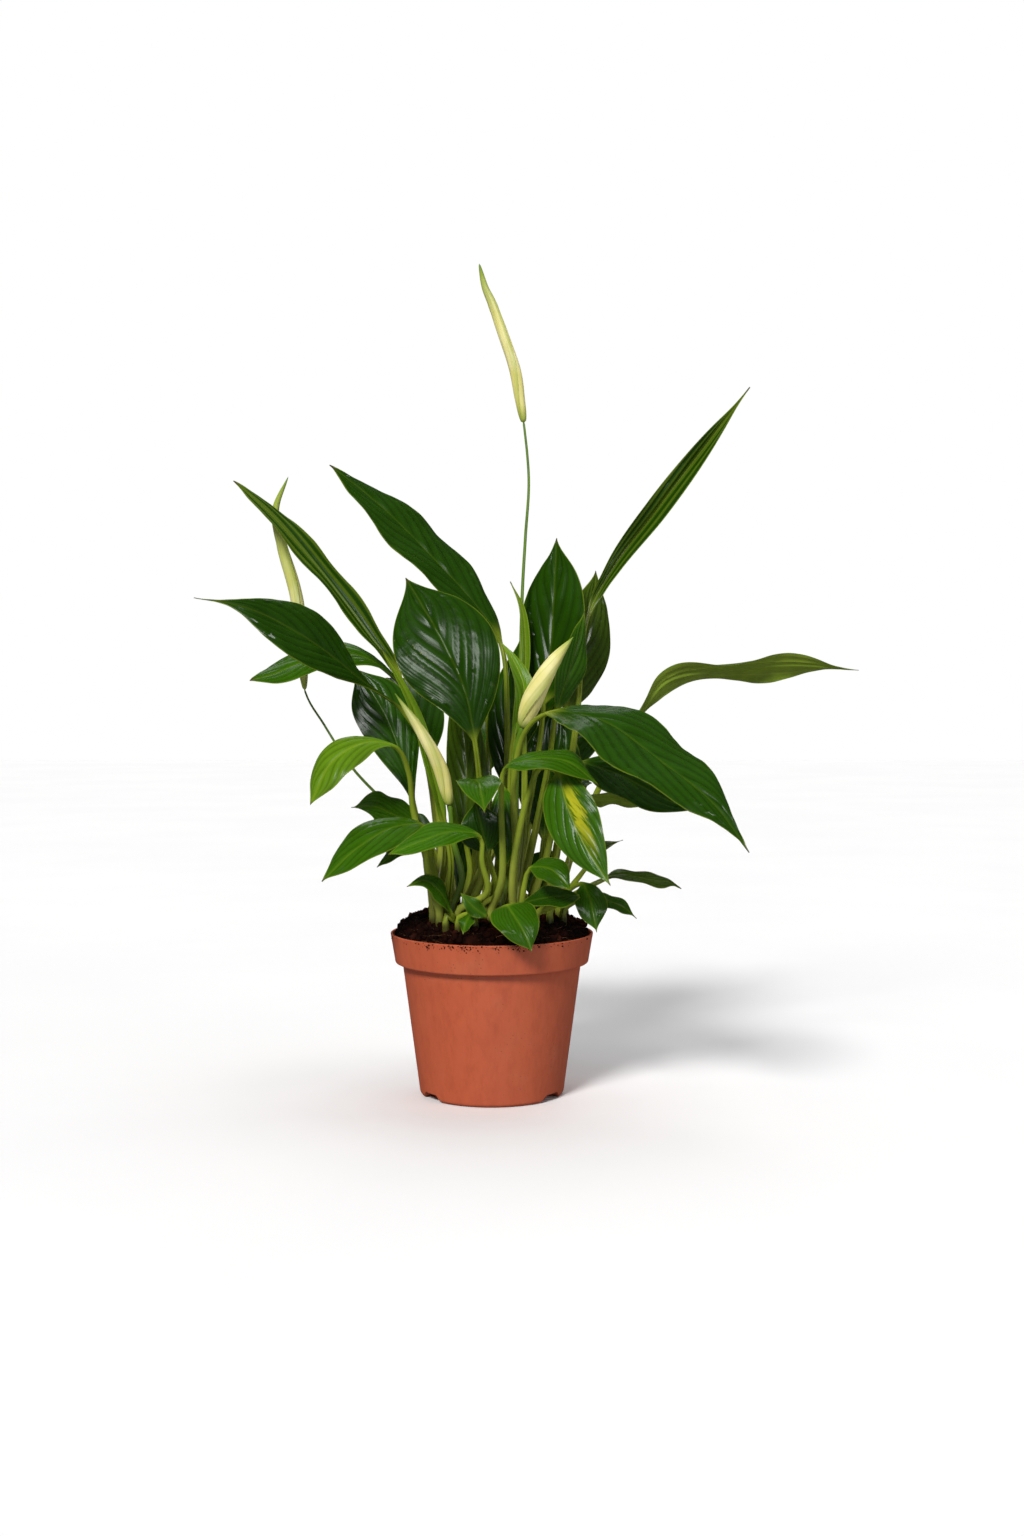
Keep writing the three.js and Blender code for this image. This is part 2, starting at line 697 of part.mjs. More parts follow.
// The direction across the leaf at each station. On the blade it follows the way the leaf
// faces, and down the stalk it is carried on without turning.
function acrossDirections(line, base, list, leaf) {
  const chord = line.at(line.length).sub(line.at(line.lengthTo(base))).normalize();
  const level = new THREE.Vector3(...leaf.face).cross(chord).normalize();
  const square = (direction, along) => {
    return direction.clone().addScaledVector(along, -direction.dot(along)).normalize();
  };
  const across = [];
  for (let i = list.length - 1; i >= 0; i -= 1) {
    const along = line.along(list[i].s);
    across[i] = square(list[i].t < 0 ? across[i + 1] : level, along);
  }
  return across;
}

// The upper and lower points of the leaf's section at one station, with v from -1 to 1 across.
function leafRing(line, side, { s, t }, leaf) {
  const { foldFade, marginLag, waveEnds, stalkFlat, rib } = LEAF_FORM;
  const [waveHeight, waveCount, phase] = leaf.wave;
  const [thick, thin] = leaf.girth;
  const centre = line.at(s);
  const up = line.along(s).cross(side).normalize();
  const along = clamp01(t);
  const stalkRadius = thick + (thin - thick) * (t + 1);
  const radius = t < 0 ? stalkRadius : thin + (BLADE.tipRadius - thin) * along;
  const half = Math.hypot(radius, leaf.width / 2 * outline(along, leaf.shape));
  const flat = ease(along / BLADE.rootedLength);
  const upper = [];
  const lower = [];
  for (const v of BLADE.section) {
    const bend = leaf.fold * (1 - foldFade * along) - leaf.curl * Math.abs(v) / 2;
    const tilt = flat * radians(bend);
    const beat = 2 * Math.PI * waveCount * along + radians(phase) + (v < 0 ? marginLag : 0);
    const swell = Math.sin(Math.PI * along) ** waveEnds;
    const ripple = waveHeight * v * v * Math.sin(beat) * swell;
    const round = radius * Math.sqrt(1 - stalkFlat * v * v);
    const ribDepth = rib * radius * (1 - Math.abs(v)) ** 2;
    const rise = half * Math.abs(v) * Math.sin(tilt) + ripple * flat + (1 - flat) * round;
    const depth = (1 - flat) * 2 * round + flat * (BLADE.thickness + ribDepth);
    const point = centre.clone();
    point.addScaledVector(side, half * v * Math.cos(tilt)).addScaledVector(up, rise);
    upper.push(point);
    const down = side.clone().multiplyScalar(Math.sign(v) * Math.sin(tilt));
    down.addScaledVector(up, -Math.cos(tilt));
    lower.unshift(point.clone().addScaledVector(down, depth));
  }
  return [...upper, ...lower];
}

function leafGeometry(spec) {
  const leaf = { ...LEAF_DEFAULTS, ...spec };
  const points = [...rootPoints(leaf.root), ...leaf.stalk, ...leaf.blade];
  const base = points.length - leaf.blade.length;
  const line = centreLine(points);
  const list = stations(line, base);
  const across = acrossDirections(line, base, list, leaf);
  return skin(list.map((station, i) => leafRing(line, across[i], station, leaf)));
}

// ---------------------------------------------------------------- flowers

function roundRing(centre, side, up, radius) {
  const ring = [];
  const turn = 2 * Math.PI / ROUND_CORNERS;
  for (let k = 0; k < ROUND_CORNERS; k += 1) {
    const angle = Math.PI + turn / 2 - k * turn;
    const point = centre.clone().addScaledVector(side, radius * Math.cos(angle));
    ring.push(point.addScaledVector(up, radius * Math.sin(angle)));
  }
  return ring;
}

// A round body along a centre line. radiusAt gives its half-width at a share of its length.
function roundBody(line, shares, radiusAt) {
  let side = new THREE.Vector3(1, 0, 0);
  const rings = shares.map((share) => {
    const along = line.along(share * line.length);
    side = side.clone().addScaledVector(along, -side.dot(along)).normalize();
    const up = along.clone().cross(side);
    return roundRing(line.at(share * line.length), side, up, radiusAt(share));
  });
  return skin(rings);
}

function evenShares(steps) {
  return Array.from({ length: steps + 1 }, (_, i) => i / steps);
}

function stalkGeometry(flower) {
  const line = centreLine([...rootPoints(flower.root), ...flower.stalk]);
  const [thick, thin] = flower.girth;
  const collar = line.lengthTo(1) / line.length;
  const end = 1 - 2 * GAP / line.length;
  const steps = Math.round(line.length / BLADE.stalkStep) + 1;
  const shares = [0, ...evenShares(steps).map((share) => collar + (end - collar) * share)];
  return roundBody(line, shares, (share) => thick + (thin - thick) * share);
}

function spatheGeometry(flower) {
  const line = centreLine(flower.spathe);
  const radiusAt = (share) => {
    const body = flower.width / 2 * outline(share, flower.shape);
    return Math.hypot(body, flower.girth[1] * (1 - share) + BLADE.tipRadius * share);
  };
  return roundBody(line, evenShares(SPATHE_STEPS), radiusAt);
}

// ---------------------------------------------------------------- the plant

function piece(name, geometry, colour, roughness) {
  const material = new THREE.MeshStandardMaterial({ color: colour, roughness, metalness: 0 });
  const mesh = new THREE.Mesh(geometry, material);
  mesh.name = name;
  return mesh;
}

function holeFor({ root, girth = LEAF_DEFAULTS.girth }) {
  return { root, radius: girth[0] };
}

const holes = [...LEAVES, ...FLOWERS].map(holeFor);

const plant = new THREE.Group();
plant.add(piece("pot", potGeometry(), COLOURS.pot, ROUGHNESS.pot));
plant.add(piece("soil", soilGeometry(holes), COLOURS.soil, ROUGHNESS.soil));
for (const leaf of LEAVES) {
  const tone = leaf.tone ?? LEAF_DEFAULTS.tone;
  plant.add(piece(leaf.name, leafGeometry(leaf), COLOURS[tone], ROUGHNESS.leaf));
}
for (const flower of FLOWERS) {
  const [stalk, spathe] = [stalkGeometry(flower), spatheGeometry(flower)];
  plant.add(piece(`${flower.name}_stalk`, stalk, COLOURS.stalk, ROUGHNESS.flower));
  plant.add(piece(`${flower.name}_spathe`, spathe, COLOURS.spathe, ROUGHNESS.flower));
}

export default plant;
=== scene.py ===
"""A potted peace lily: fine leaves, flowers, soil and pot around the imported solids.

Metres, +Z up, -Y the plant's front. The lists of leaves and flowers are in millimetres and
repeat the points that the solids were grown along, so each fine piece keeps its solid's form.
"""

import math

import bmesh
import bpy
import numpy as np
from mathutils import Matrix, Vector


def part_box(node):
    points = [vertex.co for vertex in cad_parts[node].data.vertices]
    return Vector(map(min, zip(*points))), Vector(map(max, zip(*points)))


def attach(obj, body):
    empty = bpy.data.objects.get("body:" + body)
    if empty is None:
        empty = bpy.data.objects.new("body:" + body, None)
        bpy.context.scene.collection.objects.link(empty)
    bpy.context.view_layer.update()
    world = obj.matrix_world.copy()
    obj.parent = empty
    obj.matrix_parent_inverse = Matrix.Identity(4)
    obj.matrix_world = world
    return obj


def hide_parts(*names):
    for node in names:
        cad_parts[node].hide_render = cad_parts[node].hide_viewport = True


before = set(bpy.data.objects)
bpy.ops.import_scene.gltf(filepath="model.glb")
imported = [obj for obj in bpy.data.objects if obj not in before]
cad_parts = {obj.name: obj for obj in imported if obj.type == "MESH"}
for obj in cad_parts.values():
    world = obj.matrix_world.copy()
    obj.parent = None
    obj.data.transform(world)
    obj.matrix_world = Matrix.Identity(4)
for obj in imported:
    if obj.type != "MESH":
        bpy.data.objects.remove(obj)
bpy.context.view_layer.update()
POT_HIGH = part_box("pot")[1]

bl_info = {
    "name": "Potted peace lily",
    "version": (1, 0, 0),
    "blender": (4, 5, 0),
    "location": "3D View > Sidebar > Peace lily",
    "description": "Builds a peace lily with veined leaves and closed flowers in a nursery pot",
    "category": "Add Mesh",
}

MM = 0.001
BODY = "root"

# ---------------------------------------------------------------- the plant's own lists
#
# root: where the stalk leaves the soil. face: the way the blade's upper side looks. fold: how far
# each half is raised, in degrees. curl: how far each half bends back down. wave: height of the
# margin's waves, their number and their phase in degrees. shape: how fast the blade widens and
# narrows. girth: the stalk's radius at the soil and at the blade. fresh: how much brighter than
# its tone the green is, left to chance where it isn't given. stalk: points between the soil and
# the blade. blade: points from its base to its tip.

LEAF_DEFAULTS = dict(
    tone="mid", stalk=(), fold=14, curl=24, wave=(1, 2, 0), shape=(1.0, 1.3), girth=(2.8, 1.4),
)

LEAVES = (
    dict(name="leaf_upper_left", tone="dark", root=(-33, 10), width=22, face=(0.6, -0.6, 0.5),
         fold=34, wave=(1.2, 3, 0), shape=(0.6, 0.65),
         stalk=((-28, 10, 144), (-35, 12, 189)),
         blade=((-55, 12, 247), (-74, 16, 273), (-104, 24, 312), (-137, 34, 349), (-159, 40, 369))),
    dict(name="leaf_far_left", tone="dark", root=(-34, -6), width=44, face=(0.3, -0.7, 0.6),
         fold=18, wave=(1.5, 2, 60), shape=(4.2, 3.4), fresh=0.0,
         stalk=((-30, -2, 145), (-37, -4, 199)),
         blade=((-51, -12, 226), (-75, -30, 246), (-104, -50, 269), (-135, -66, 285),
                (-162, -76, 290))),
    dict(name="leaf_left_back", tone="dark", root=(-12, 20), width=45, face=(0.6, -0.6, 0.5),
         fold=16, wave=(1.8, 3, 0), shape=(0.9, 0.95), fresh=0.1,
         stalk=((5, 24, 155), (9, 26, 228)),
         blade=((5, 28, 269), (-10, 32, 292), (-38, 38, 323), (-68, 44, 353), (-101, 50, 380))),
    dict(name="leaf_broad_front", tone="dark", root=(-15, -12), width=59, face=(0.2, -1, 0.1),
         fold=12, wave=(1.2, 2, 0), shape=(1.35, 1.15), fresh=0.0,
         stalk=((-2, -18, 146), (-6, -32, 182)),
         blade=((-9, -42, 209), (-15, -45, 240), (-29, -42, 270), (-49, -32, 304))),
    dict(name="leaf_centre_upright", tone="dark", root=(9, 12), width=42, face=(-0.4, -0.9, 0),
         shape=(0.8, 1), fresh=0.1,
         stalk=((19, 14, 156), (28, 8, 204)),
         blade=((31, 4, 232), (35, 4, 264), (37, 10, 294), (39, 22, 332))),
    dict(name="leaf_centre_right", root=(17, -1), width=26, face=(0.7, -0.6, -0.2), fold=20,
         stalk=((26, 0, 157), (34, -8, 199)),
         blade=((38, -14, 227), (44, -16, 246), (50, -14, 266), (55, -10, 286))),
    dict(name="leaf_right_back", tone="olive", root=(24, 20), width=40, face=(0.6, -0.8, -0.1),
         shape=(0.8, 1),
         stalk=((36, 26, 155), (44, 26, 198)),
         blade=((45, 28, 227), (54, 32, 256), (61, 38, 286), (64, 44, 314))),
    dict(name="leaf_upper_right", tone="dark", root=(34, 14), width=18, face=(0.15, -1, 0.2),
         fold=50, curl=4, wave=(1.2, 3, 40),
         stalk=((41, 14, 156), (51, 14, 222)),
         blade=((57, 16, 282), (73, 22, 314), (100, 32, 350), (132, 46, 392), (161, 62, 430))),
    dict(name="leaf_far_right", tone="olive", root=(40, 4), width=23, face=(-0.2, 0.6, 0.8), fold=6,
         wave=(4, 2, 173), shape=(0.8, 0.8), fresh=1.0,
         stalk=((49, 12, 145), (67, 16, 186)),
         blade=((86, 12, 221), (104, 12, 245), (137, 10, 252), (178, 4, 255), (217, -4, 252))),
    dict(name="leaf_front_right", tone="dark", root=(12, -23), width=56, face=(0.4, -0.6, 0.7),
         fold=12, wave=(1.8, 3, 90), shape=(0.85, 1.2),
         stalk=((14, -32, 147), (13, -37, 188), (19, -43, 215)),
         blade=((31, -54, 226), (61, -72, 223), (91, -90, 202), (119, -104, 179),
                (138, -110, 153))),
    dict(name="leaf_left_curled", tone="light", root=(-34, -20), width=25, face=(-0.3, -0.8, 0.5),
         fold=10, curl=40, shape=(1.2, 0.9),
         stalk=((-38, -14, 140), (-46, -12, 169), (-48, -20, 191)),
         blade=((-54, -30, 206), (-71, -38, 210), (-90, -46, 199), (-102, -52, 175))),
    dict(name="leaf_left_hanging", tone="dark", root=(-34, 1), width=36, face=(0.3, -0.9, 0.1),
         shape=(1.5, 0.8), fresh=1.6,
         stalk=((-33, 2, 139), (-43, 0, 157)),
         blade=((-46, -2, 171), (-52, -4, 195), (-63, -3, 225), (-80, -2, 252))),
    dict(name="leaf_left_tipped", root=(-26, 28), width=34, face=(0.1, -0.5, 0.9), wave=(1.5, 2, 0),
         shape=(1.3, 0.7),
         stalk=((-32, 26, 143), (-39, 24, 192)),
         blade=((-53, 24, 240), (-80, 24, 261), (-112, 20, 258), (-131, 12, 250), (-145, 8, 246))),
    dict(name="leaf_low_left_small", root=(-34, -13), width=27, face=(0.2, -0.8, 0.6),
         wave=(2, 2, 200),
         stalk=((-36, -5, 130), (-38, -2, 152)),
         blade=((-42, -4, 160), (-56, -12, 166), (-68, -20, 172), (-81, -26, 172))),
    dict(name="leaf_low_left", root=(-30, -27), width=32, face=(-0.3, -0.6, 0.7), fold=10,
         shape=(0.8, 1), fresh=0.1,
         stalk=((-36, -31, 130), (-38, -33, 147)),
         blade=((-38, -36, 161), (-55, -46, 162), (-76, -58, 150), (-94, -66, 133))),
    dict(name="leaf_low_left_under", root=(-27, -13), width=18, face=(-0.4, -0.5, 0.8),
         stalk=((-32, -18, 129), (-36, -22, 142)),
         blade=((-38, -22, 151), (-52, -28, 148), (-66, -34, 138))),
    dict(name="leaf_low_left_light", root=(-19, -29), width=21, face=(-0.1, -0.6, 0.8),
         shape=(0.8, 0.9), fresh=0.9,
         stalk=((-2, -40, 124), (-5, -46, 142)),
         blade=((-6, -48, 156), (-22, -55, 160), (-39, -62, 155), (-57, -66, 148))),
    dict(name="leaf_front_arching", root=(0, -31), width=26, face=(0.1, -0.5, 0.9), fold=10,
         shape=(0.8, 1), fresh=0.5,
         stalk=((6, -40, 131), (6, -48, 177)),
         blade=((8, -52, 195), (23, -60, 201), (42, -68, 200), (60, -72, 187))),
    dict(name="leaf_front_streaked", tone="light", root=(13, -32), width=30, face=(-0.1, -1, -0.1),
         fold=10, shape=(0.7, 1.1), fresh=0.6,
         stalk=((12, -38, 128), (15, -44, 154), (22, -50, 183), (28, -56, 196)),
         blade=((37, -62, 194), (42, -70, 177), (51, -76, 156), (66, -80, 132))),
    dict(name="leaf_toward_front", root=(-12, -21), width=26, face=(0, -0.4, 1), curl=10,
         stalk=((-6, -26, 130), (-8, -29, 171)),
         blade=((-10, -38, 187), (-7, -55, 188), (-5, -70, 182), (-3, -78, 172))),
    dict(name="leaf_centre_hanging", root=(1, -10), width=18, face=(0, -1, 0), fresh=0.7,
         stalk=((4, -10, 140), (4, -16, 175)),
         blade=((6, -20, 184), (7, -25, 173), (7, -26, 153), (7, -26, 132))),
    dict(name="leaf_centre_low", tone="dark", root=(-4, -19), width=27, face=(0.2, -1, 0),
         stalk=((3, -28, 121),),
         blade=((-2, -35, 146), (-6, -39, 163), (-9, -39, 177))),
    dict(name="leaf_right_olive", tone="olive", root=(30, -7), width=28, face=(0.1, 0.3, 0.9),
         wave=(1.5, 2, 0), fresh=0.9,
         stalk=((38, -8, 145), (42, -6, 166)),
         blade=((50, -10, 175), (63, -11, 176), (77, -9, 174), (90, -6, 171))),
    dict(name="leaf_right_shaded", tone="dark", root=(23, -15), width=40, face=(0.3, -0.6, 0.7),
         stalk=((33, -16, 146), (40, -16, 181)),
         blade=((50, -16, 196), (74, -26, 191), (99, -36, 178), (121, -44, 170))),
    dict(name="leaf_olive_upright", tone="olive", root=(-16, 6), width=28, face=(-0.3, -0.9, -0.1),
         shape=(0.6, 1.3), fresh=1.6,
         stalk=((-13, 6, 132),),
         blade=((-16, 8, 152), (-15, 12, 187), (-18, 18, 226), (-24, 26, 262))),
    dict(name="leaf_young_centre", tone="light", root=(7, -4), width=12, face=(0.3, -0.9, 0),
         fold=30, wave=(0.5, 2, 0), fresh=1.2,
         stalk=((11, -8, 145), (11, -12, 187)),
         blade=((13, -13, 213), (19, -13, 240), (13, -11, 257), (5, -9, 269))),
    dict(name="leaf_centre_shadow", tone="dark", root=(0, 28), width=32, face=(-0.2, -1, 0),
         stalk=((6, 32, 145),),
         blade=((9, 34, 178), (12, 36, 215), (14, 38, 248), (18, 40, 275))),
    dict(name="leaf_inner_right", tone="dark", root=(25, 7), width=40, face=(0.1, -1, 0.1),
         stalk=((29, 12, 132),),
         blade=((31, 16, 150), (34, 20, 180), (37, 22, 208), (39, 26, 236))),
    dict(name="leaf_rolled_left", tone="light", root=(-26, -3), width=9, face=(0.5, -0.9, 0.2),
         fold=40, wave=(0.3, 2, 0), shape=(0.5, 1), fresh=1.6,
         stalk=((-24, -10, 139),),
         blade=((-28, -14, 162), (-35, -19, 192), (-46, -24, 231), (-63, -28, 263))),
    dict(name="leaf_soil_left", root=(-26, -35), width=16, face=(0.3, -0.6, 0.7),
         stalk=((-20, -32, 106),),
         blade=((-23, -36, 111), (-29, -40, 124), (-38, -43, 131), (-48, -45, 128))),
    dict(name="leaf_soil_left_pale", root=(-19, -40), width=10, face=(-0.5, -0.9, 0.2),
         blade=((-12, -42, 112), (-14, -46, 108), (-16, -48, 101))),
    dict(name="leaf_soil_left_oval", root=(-9, -40), width=10, face=(0.2, -0.9, 0.2),
         blade=((-3, -46, 111), (-10, -50, 117), (-17, -52, 125))),
    dict(name="leaf_soil_front", root=(7, -42), width=28, face=(0.4, -0.9, 0.3), shape=(0.45, 1),
         blade=((9, -56, 118), (14, -64, 112), (19, -68, 104), (23, -69, 94))),
    dict(name="leaf_soil_right_drooping", root=(34, -22), width=20, face=(0.3, -0.9, 0.1),
         blade=((52, -22, 127), (57, -28, 119), (59, -32, 110), (61, -33, 100))),
    dict(name="leaf_soil_right_low", root=(42, -14), width=12, face=(0.3, -0.6, 0.7),
         blade=((59, -8, 118), (70, -8, 115), (79, -8, 111), (86, -8, 105))),
    dict(name="leaf_soil_right_long", tone="olive", root=(44, 13), width=20, face=(0.1, -0.3, 0.9),
         shape=(0.9, 0.8),
         blade=((68, 14, 126), (77, 15, 129), (89, 16, 127), (98, 17, 125), (107, 18, 124),
                (115, 18, 120))),
    dict(name="leaf_soil_centre", root=(17, -41), width=20, face=(0.3, -0.8, 0.6),
         stalk=((19, -46, 129),),
         blade=((22, -48, 138), (33, -54, 139), (46, -58, 127))),
    dict(name="leaf_soil_right_dark", tone="dark", root=(26, -32), width=19, face=(-0.1, -0.6, 0.8),
         blade=((50, -36, 121), (34, -46, 122), (16, -52, 119))),
    dict(name="leaf_soil_right_dry", tone="olive", root=(40, -4), width=9, face=(-0.2, -0.9, 0.3),
         shape=(0.8, 1.8),
         blade=((55, -2, 133), (62, -2, 143), (66, -2, 147), (78, -2, 151))),
    dict(name="leaf_tall_bract", tone="light", root=(14, -9), width=6, face=(0, -1, 0), fold=40,
         wave=(0.2, 2, 0), fresh=0.9,
         stalk=((19, -4, 160),),
         blade=((19, -1, 235), (20, 0, 264), (18, 0, 288), (11, -1, 304))),
    dict(name="leaf_back_tall", tone="dark", root=(-4, 36), width=44, face=(0, 0.6, 0.8),
         stalk=((-2, 42, 170),),
         blade=((-4, 54, 230), (-10, 74, 275), (-18, 100, 308), (-26, 128, 322))),
    dict(name="leaf_back_right", tone="dark", root=(14, 35), width=42, face=(0, 0.5, 0.8),
         stalk=((24, 46, 165),),
         blade=((30, 58, 220), (38, 84, 256), (46, 116, 280), (50, 146, 284))),
    dict(name="leaf_back_left", tone="dark", root=(-24, 36), width=40, face=(-0.1, 0.4, 0.9),
         stalk=((-32, 46, 155),),
         blade=((-38, 58, 200), (-52, 88, 232), (-62, 120, 248), (-70, 150, 246))),
    dict(name="leaf_back_low_left", root=(-32, 36), width=30, face=(-0.2, 0.2, 1),
         stalk=((-38, 50, 132),),
         blade=((-42, 62, 148), (-56, 82, 158), (-70, 104, 156), (-80, 120, 146))),
    dict(name="leaf_back_low_right", root=(26, 36), width=30, face=(0.2, 0.2, 1),
         stalk=((32, 52, 140),),
         blade=((38, 62, 164), (46, 84, 180), (55, 106, 182), (62, 124, 174))),
    dict(name="leaf_back_low", root=(8, 45), width=32, face=(0, 0.2, 1),
         stalk=((14, 58, 132),),
         blade=((18, 66, 148), (22, 92, 160), (27, 118, 160), (30, 142, 148))),
    dict(name="leaf_back_mid", tone="dark", root=(-13, 43), width=38, face=(0, 0.3, 1),
         stalk=((-10, 56, 150),),
         blade=((-8, 64, 184), (-4, 92, 212), (-2, 122, 222), (0, 150, 214))),
    dict(name="leaf_back_mid_right", tone="dark", root=(34, 26), width=36, face=(0.1, 0.4, 0.9),
         stalk=((42, 42, 150),),
         blade=((46, 54, 184), (54, 84, 214), (61, 114, 228), (66, 140, 224))),
    dict(name="leaf_soil_back_left", tone="dark", root=(-22, 46), width=30, face=(0, -1, 0.2),
         blade=((-22, 59, 110), (-18, 66, 132), (-9, 74, 156))),
    dict(name="leaf_soil_back_right", tone="dark", root=(20, 47), width=30, face=(0, -1, 0.2),
         blade=((25, 60, 110), (30, 66, 124), (37, 72, 141))),
)

# green_from: how far along the spathe its tip starts to turn green. stalk: from the soil to the
# spathe's base, its last point. spathe: from its base to its tip.

FLOWERS = (
    dict(name="flower_tall", root=(4, 4), girth=(1.5, 0.65), width=7.4, shape=(0.35, 0.6),
         green_from=0.55,
         stalk=((19, 4, 144), (17, 4, 222), (18, 6, 294), (20, 8, 331), (22, 9, 365),
                (19, 10, 399)),
         spathe=((19, 10, 399), (17, 10, 412), (14, 10, 430), (7, 10, 451), (0, 10, 470),
                 (-4, 10, 479), (-7.5, 10, 493))),
    dict(name="flower_right", root=(5, -16), girth=(2.4, 1.8), width=13, shape=(0.5, 1),
         green_from=0.72,
         stalk=((13, -16, 141), (14, -22, 182), (15, -28, 206), (18, -32, 218)),
         spathe=((18, -32, 218), (25, -35, 236), (36, -38, 256), (47, -40, 270))),
    dict(name="flower_left", root=(-23, -21), girth=(2.2, 1.4), width=9, shape=(0.45, 1),
         green_from=0.6,
         stalk=((-17, -24, 129), (-22, -26, 153), (-24, -28, 173)),
         spathe=((-24, -28, 173), (-29, -30, 194), (-39, -34, 214), (-55, -38, 238))),
    dict(name="flower_far_left", root=(-32, 22), girth=(1.3, 0.55), width=9, shape=(0.5, 0.8),
         green_from=0.1,
         stalk=((-36, 26, 136), (-62, 31, 167), (-86, 36, 192), (-104, 39, 219), (-116, 41, 240)),
         spathe=((-116, 41, 240), (-121, 46, 296), (-131, 50, 331), (-135, 52, 352),
                 (-127, 52, 373))),
)


def linear(code):
    """The linear colour of a six-digit screen colour, by the usual screen curve."""
    shares = [(code >> shift & 0xFF) / 255 for shift in (16, 8, 0)]
    return tuple(c / 12.92 if c <= 0.04045 else ((c + 0.055) / 1.055) ** 2.4 for c in shares)


def size(name, description, default):
    """A length that a user may change."""
    return bpy.props.FloatProperty(
        name=name, description=description, default=default, min=0, precision=5, unit="LENGTH"
    )


def colour(name, description, code):
    """A colour that a user may change."""
    return bpy.props.FloatVectorProperty(
        name=name, description=description, default=linear(code), size=3, min=0, max=1,
        subtype="COLOR",
    )


def count(name, description, default):
    """A number of pieces that a user may change."""
    return bpy.props.IntProperty(name=name, description=description, default=default, min=1)


# ---------------------------------------------------------------- settings


class PotSettings(bpy.types.PropertyGroup):
    height: size("Height", "From the ground to the rim", POT_HIGH.z)
    rim_radius: size("Rim radius", "Outside radius at the top of the lip", POT_HIGH.x)
    lip_height: size("Lip height", "Height of the deep lip", 17.5 * MM)
    lip_radius: size("Lip radius", "Outside radius at the lip's lower edge", 57.4 * MM)
    body_radius: size("Body radius", "Outside radius just under the lip", 53.2 * MM)
    foot_radius: size("Foot radius", "Outside radius at the ground", 42.7 * MM)
    wall: size("Wall", "Thickness of the wall", 1.5 * MM)
    floor: size("Floor", "Thickness of the floor", 2 * MM)
    notch_height: size("Notch height", "Height of the notches under the foot", 4.2 * MM)
    notch_mouth: size("Notch mouth", "Half the width of a notch at the ground", 10 * MM)
    notch_roof: size("Notch roof", "Half the width of a notch at its roof", 5.5 * MM)
    notch_inner: size("Notch inner end", "Distance of a notch's inner end from the axis", 31 * MM)
    drain_radius: size("Drain radius", "Radius of each drain hole", 3 * MM)
    drain_place: size("Drain place", "Distance of each drain hole from the axis", 36.5 * MM)
    clay: colour("Clay", "The plastic where the light falls", 0xCB6341)
    clay_deep: colour("Deep clay", "The plastic's darker flow streaks", 0xB65436)
    dust: colour("Dust", "Dried marks on the plastic", 0xD08A66)


class SoilSettings(bpy.types.PropertyGroup):
    radius: size("Radius", "The soil's radius at the top", 58.47 * MM)
    edge: size("Edge height", "Height of the soil at the wall", 93 * MM)
    mound: size("Mound", "How far the soil rises to the crown", 15 * MM)
    span: size("Span", "How far out the mound reaches", 66 * MM)
    crumb: size("Crumb", "Size of a large crumb", 2.9 * MM)
    crumbs: count("Crumbs", "Loose crumbs on the soil", 2600)
    rim_crumbs: count("Rim crumbs", "Crumbs that stick to the pot's lip", 280)
    fibres: count("Fibres", "Fine dry roots on the soil and over the lip", 90)
    peat: colour("Peat", "Moist peat", 0x150806)
    peat_deep: colour("Deep peat", "Wet peat in the hollows", 0x060302)
    bark: colour("Bark", "Reddish bits of bark", 0x3E1C12)
    fibre: colour("Fibre", "Dry fine roots", 0x8A6642)


class FoliageSettings(bpy.types.PropertyGroup):
    thickness: size("Thickness", "Thickness of a blade", 0.42 * MM)
    tip_radius: size("Tip radius", "Half the width at the very tip", 0.22 * MM)
    relief: size("Relief", "Height of the swellings between veins on a broad leaf", 1.05 * MM)
    groove: size("Groove", "Depth of the midrib's groove", 0.35 * MM)
    groove_width: size("Groove width", "Half the width of the midrib's groove", 0.9 * MM)
    vein_spacing: size("Vein spacing", "Distance between side veins along the midrib", 19 * MM)
    vein_angle: bpy.props.FloatProperty(
        name="Vein angle", description="Angle between vein and midrib on the broadest leaf",
        default=math.radians(24), min=0.1, max=1.5, subtype="ANGLE",
    )
    dark: colour("Dark", "Old leaves", 0x234802)
    mid: colour("Middle", "Full-grown leaves", 0x386506)
    light: colour("Light", "Young leaves", 0x5E8512)
    olive: colour("Olive", "Leaves with a dull upper face", 0x40590B)
    under: colour("Underside", "The paler lower face", 0x6C7F1C)
    stem: colour("Stem", "Leaf stalks", 0x92A32E)
    stem_base: colour("Stem base", "Leaf stalks near the soil", 0xA6AC4A)
    streak: colour("Streak", "The yellow streak on one young leaf", 0xCFCB2C)
    dry: colour("Dry", "Withered tips", 0x4A3B22)
    soiled: colour("Soiled foot", "A stalk where it comes out of the soil", 0x241509)


class FlowerSettings(bpy.types.PropertyGroup):
    lap: bpy.props.FloatProperty(
        name="Lap", description="How far the outer edge stands off the roll, in radii",
        default=0.16, min=0, max=0.5,
    )
    turns: bpy.props.FloatProperty(
        name="Turns", description="How far the lapped edge winds round the roll",
        default=0.35, min=0, max=2,
    )
    cream: colour("Cream", "The pale roll", 0xFFF7B0)
    butter: colour("Butter", "The roll's yellower shade", 0xF2E98C)
    lime: colour("Lime", "The roll's green tip and base", 0x9DB23C)
    stalk: colour("Stalk", "The flower's stalk", 0x6A8F20)


